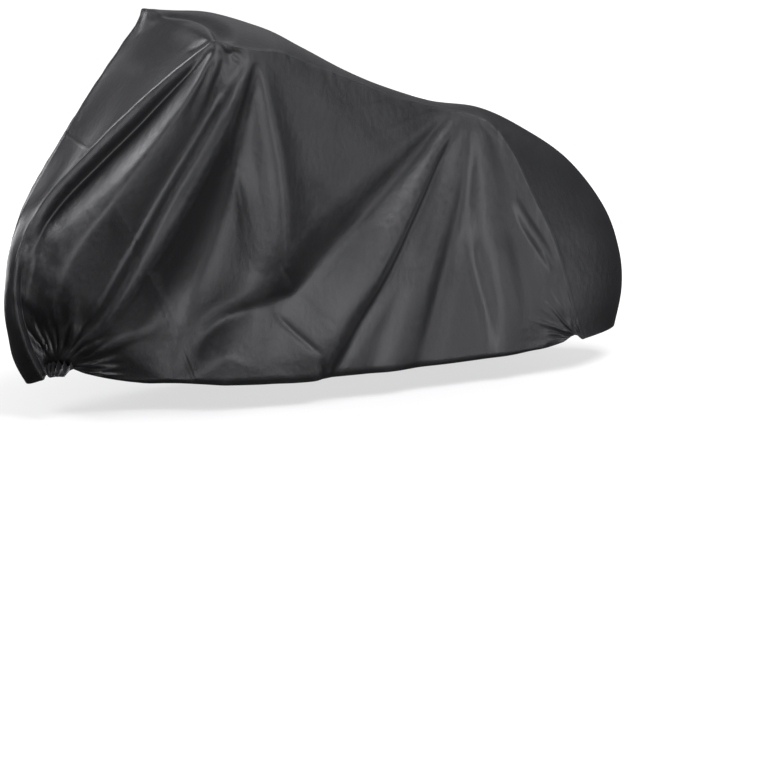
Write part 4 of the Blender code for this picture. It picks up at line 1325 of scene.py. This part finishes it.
class CoverSewingProperties(bpy.types.PropertyGroup):
    thread_color: bpy.props.FloatVectorProperty(
        name="Thread Color", description="Colour of the sewing thread",
        subtype="COLOR", size=3, min=0, max=1, default=(0.012, 0.012, 0.013),
    )
    thread_width: bpy.props.FloatProperty(
        name="Thread Width", description="Thickness of the sewing thread",
        unit="LENGTH", min=0.0003, max=0.003, default=0.0009,
    )
    stitch_length: bpy.props.FloatProperty(
        name="Stitch Length", description="Length of one stitch",
        unit="LENGTH", min=0.001, max=0.01, default=0.0034,
    )
    stitch_gap: bpy.props.FloatProperty(
        name="Stitch Gap", description="Gap between one stitch and the next",
        unit="LENGTH", min=0.0005, max=0.01, default=0.0014,
    )
    seam_distance: bpy.props.FloatProperty(
        name="Seam Distance", description="How far from a seam its stitches run",
        unit="LENGTH", min=0.002, max=0.03, default=0.008,
    )
    hem_depth: bpy.props.FloatProperty(
        name="Hem Depth", description="How deep the hem is turned in, and its stitches run",
        unit="LENGTH", min=0.005, max=0.05, default=0.022,
    )
    seed: bpy.props.IntProperty(
        name="Seed", description="Start of the random unevenness of the stitches",
        min=0, default=9,
    )


class CoverStudioProperties(bpy.types.PropertyGroup):
    ambient: bpy.props.FloatProperty(
        name="Ambient", description="Strength of the light that comes from all round",
        min=0, max=1, default=0.018,
    )
    light_color: bpy.props.FloatVectorProperty(
        name="Light Color", description="Colour of the softboxes",
        subtype="COLOR", size=3, min=0, max=1, default=(0.96, 0.96, 1.0),
    )


class COVER_OT_side_panels(bpy.types.Operator):
    """Build the near and the far side panel"""
    bl_idname = "cover.side_panels"
    bl_label = "Side Panels"

    def execute(self, context):
        scene = context.scene
        names = ("side_panel_near", "side_panel_far")
        sew_pieces(names, scene.cover_cloth, scene.cover_sewing.hem_depth)
        return {"FINISHED"}


class COVER_OT_gussets(bpy.types.Operator):
    """Build the front and the top gusset, which join the side panels"""
    bl_idname = "cover.gussets"
    bl_label = "Gussets"

    def execute(self, context):
        scene = context.scene
        names = ("gusset_front", "gusset_top")
        sew_pieces(names, scene.cover_cloth, scene.cover_sewing.hem_depth)
        return {"FINISHED"}


class COVER_OT_stitches(bpy.types.Operator):
    """Sew rows of stitches along the seams and the hem"""
    bl_idname = "cover.stitches"
    bl_label = "Stitches"

    def execute(self, context):
        sew_rows(context.scene.cover_sewing)
        return {"FINISHED"}


class COVER_OT_stage(bpy.types.Operator):
    """Add the floor, the lights, the world and the camera"""
    bl_idname = "cover.stage"
    bl_label = "Stage"

    def execute(self, context):
        build_stage(context.scene.cover_studio)
        return {"FINISHED"}


class COVER_PT_panel(bpy.types.Panel):
    bl_label = "Bicycle Cover"
    bl_idname = "COVER_PT_panel"
    bl_space_type = "VIEW_3D"
    bl_region_type = "UI"
    bl_category = "Cover"

    def draw(self, context):
        cloth, sewing = context.scene.cover_cloth, context.scene.cover_sewing
        studio = context.scene.cover_studio
        for name in ("color", "worn_color", "coating_color", "roughness", "crinkle", "thickness"):
            self.layout.prop(cloth, name)
        self.layout.operator(COVER_OT_side_panels.bl_idname)
        self.layout.operator(COVER_OT_gussets.bl_idname)
        for name in ("thread_color", "thread_width", "stitch_length", "stitch_gap"):
            self.layout.prop(sewing, name)
        for name in ("seam_distance", "hem_depth", "seed"):
            self.layout.prop(sewing, name)
        self.layout.operator(COVER_OT_stitches.bl_idname)
        for name in ("ambient", "light_color"):
            self.layout.prop(studio, name)
        self.layout.operator(COVER_OT_stage.bl_idname)


CLASSES = (
    CoverClothProperties,
    CoverSewingProperties,
    CoverStudioProperties,
    COVER_OT_side_panels,
    COVER_OT_gussets,
    COVER_OT_stitches,
    COVER_OT_stage,
    COVER_PT_panel,
)


def register():
    for cls in CLASSES:
        bpy.utils.register_class(cls)
    bpy.types.Scene.cover_cloth = bpy.props.PointerProperty(type=CoverClothProperties)
    bpy.types.Scene.cover_sewing = bpy.props.PointerProperty(type=CoverSewingProperties)
    bpy.types.Scene.cover_studio = bpy.props.PointerProperty(type=CoverStudioProperties)


def unregister():
    del bpy.types.Scene.cover_studio
    del bpy.types.Scene.cover_sewing
    del bpy.types.Scene.cover_cloth
    for cls in reversed(CLASSES):
        bpy.utils.unregister_class(cls)


def plain(box):
    """The two corners of a box as lists of numbers."""
    return [[float(value) for value in corner] for corner in box]


def main():
    register()
    bpy.ops.cover.side_panels()
    bpy.ops.cover.gussets()
    bpy.ops.cover.stitches()
    bpy.ops.cover.stage()


if __name__ == "__main__":
    main()
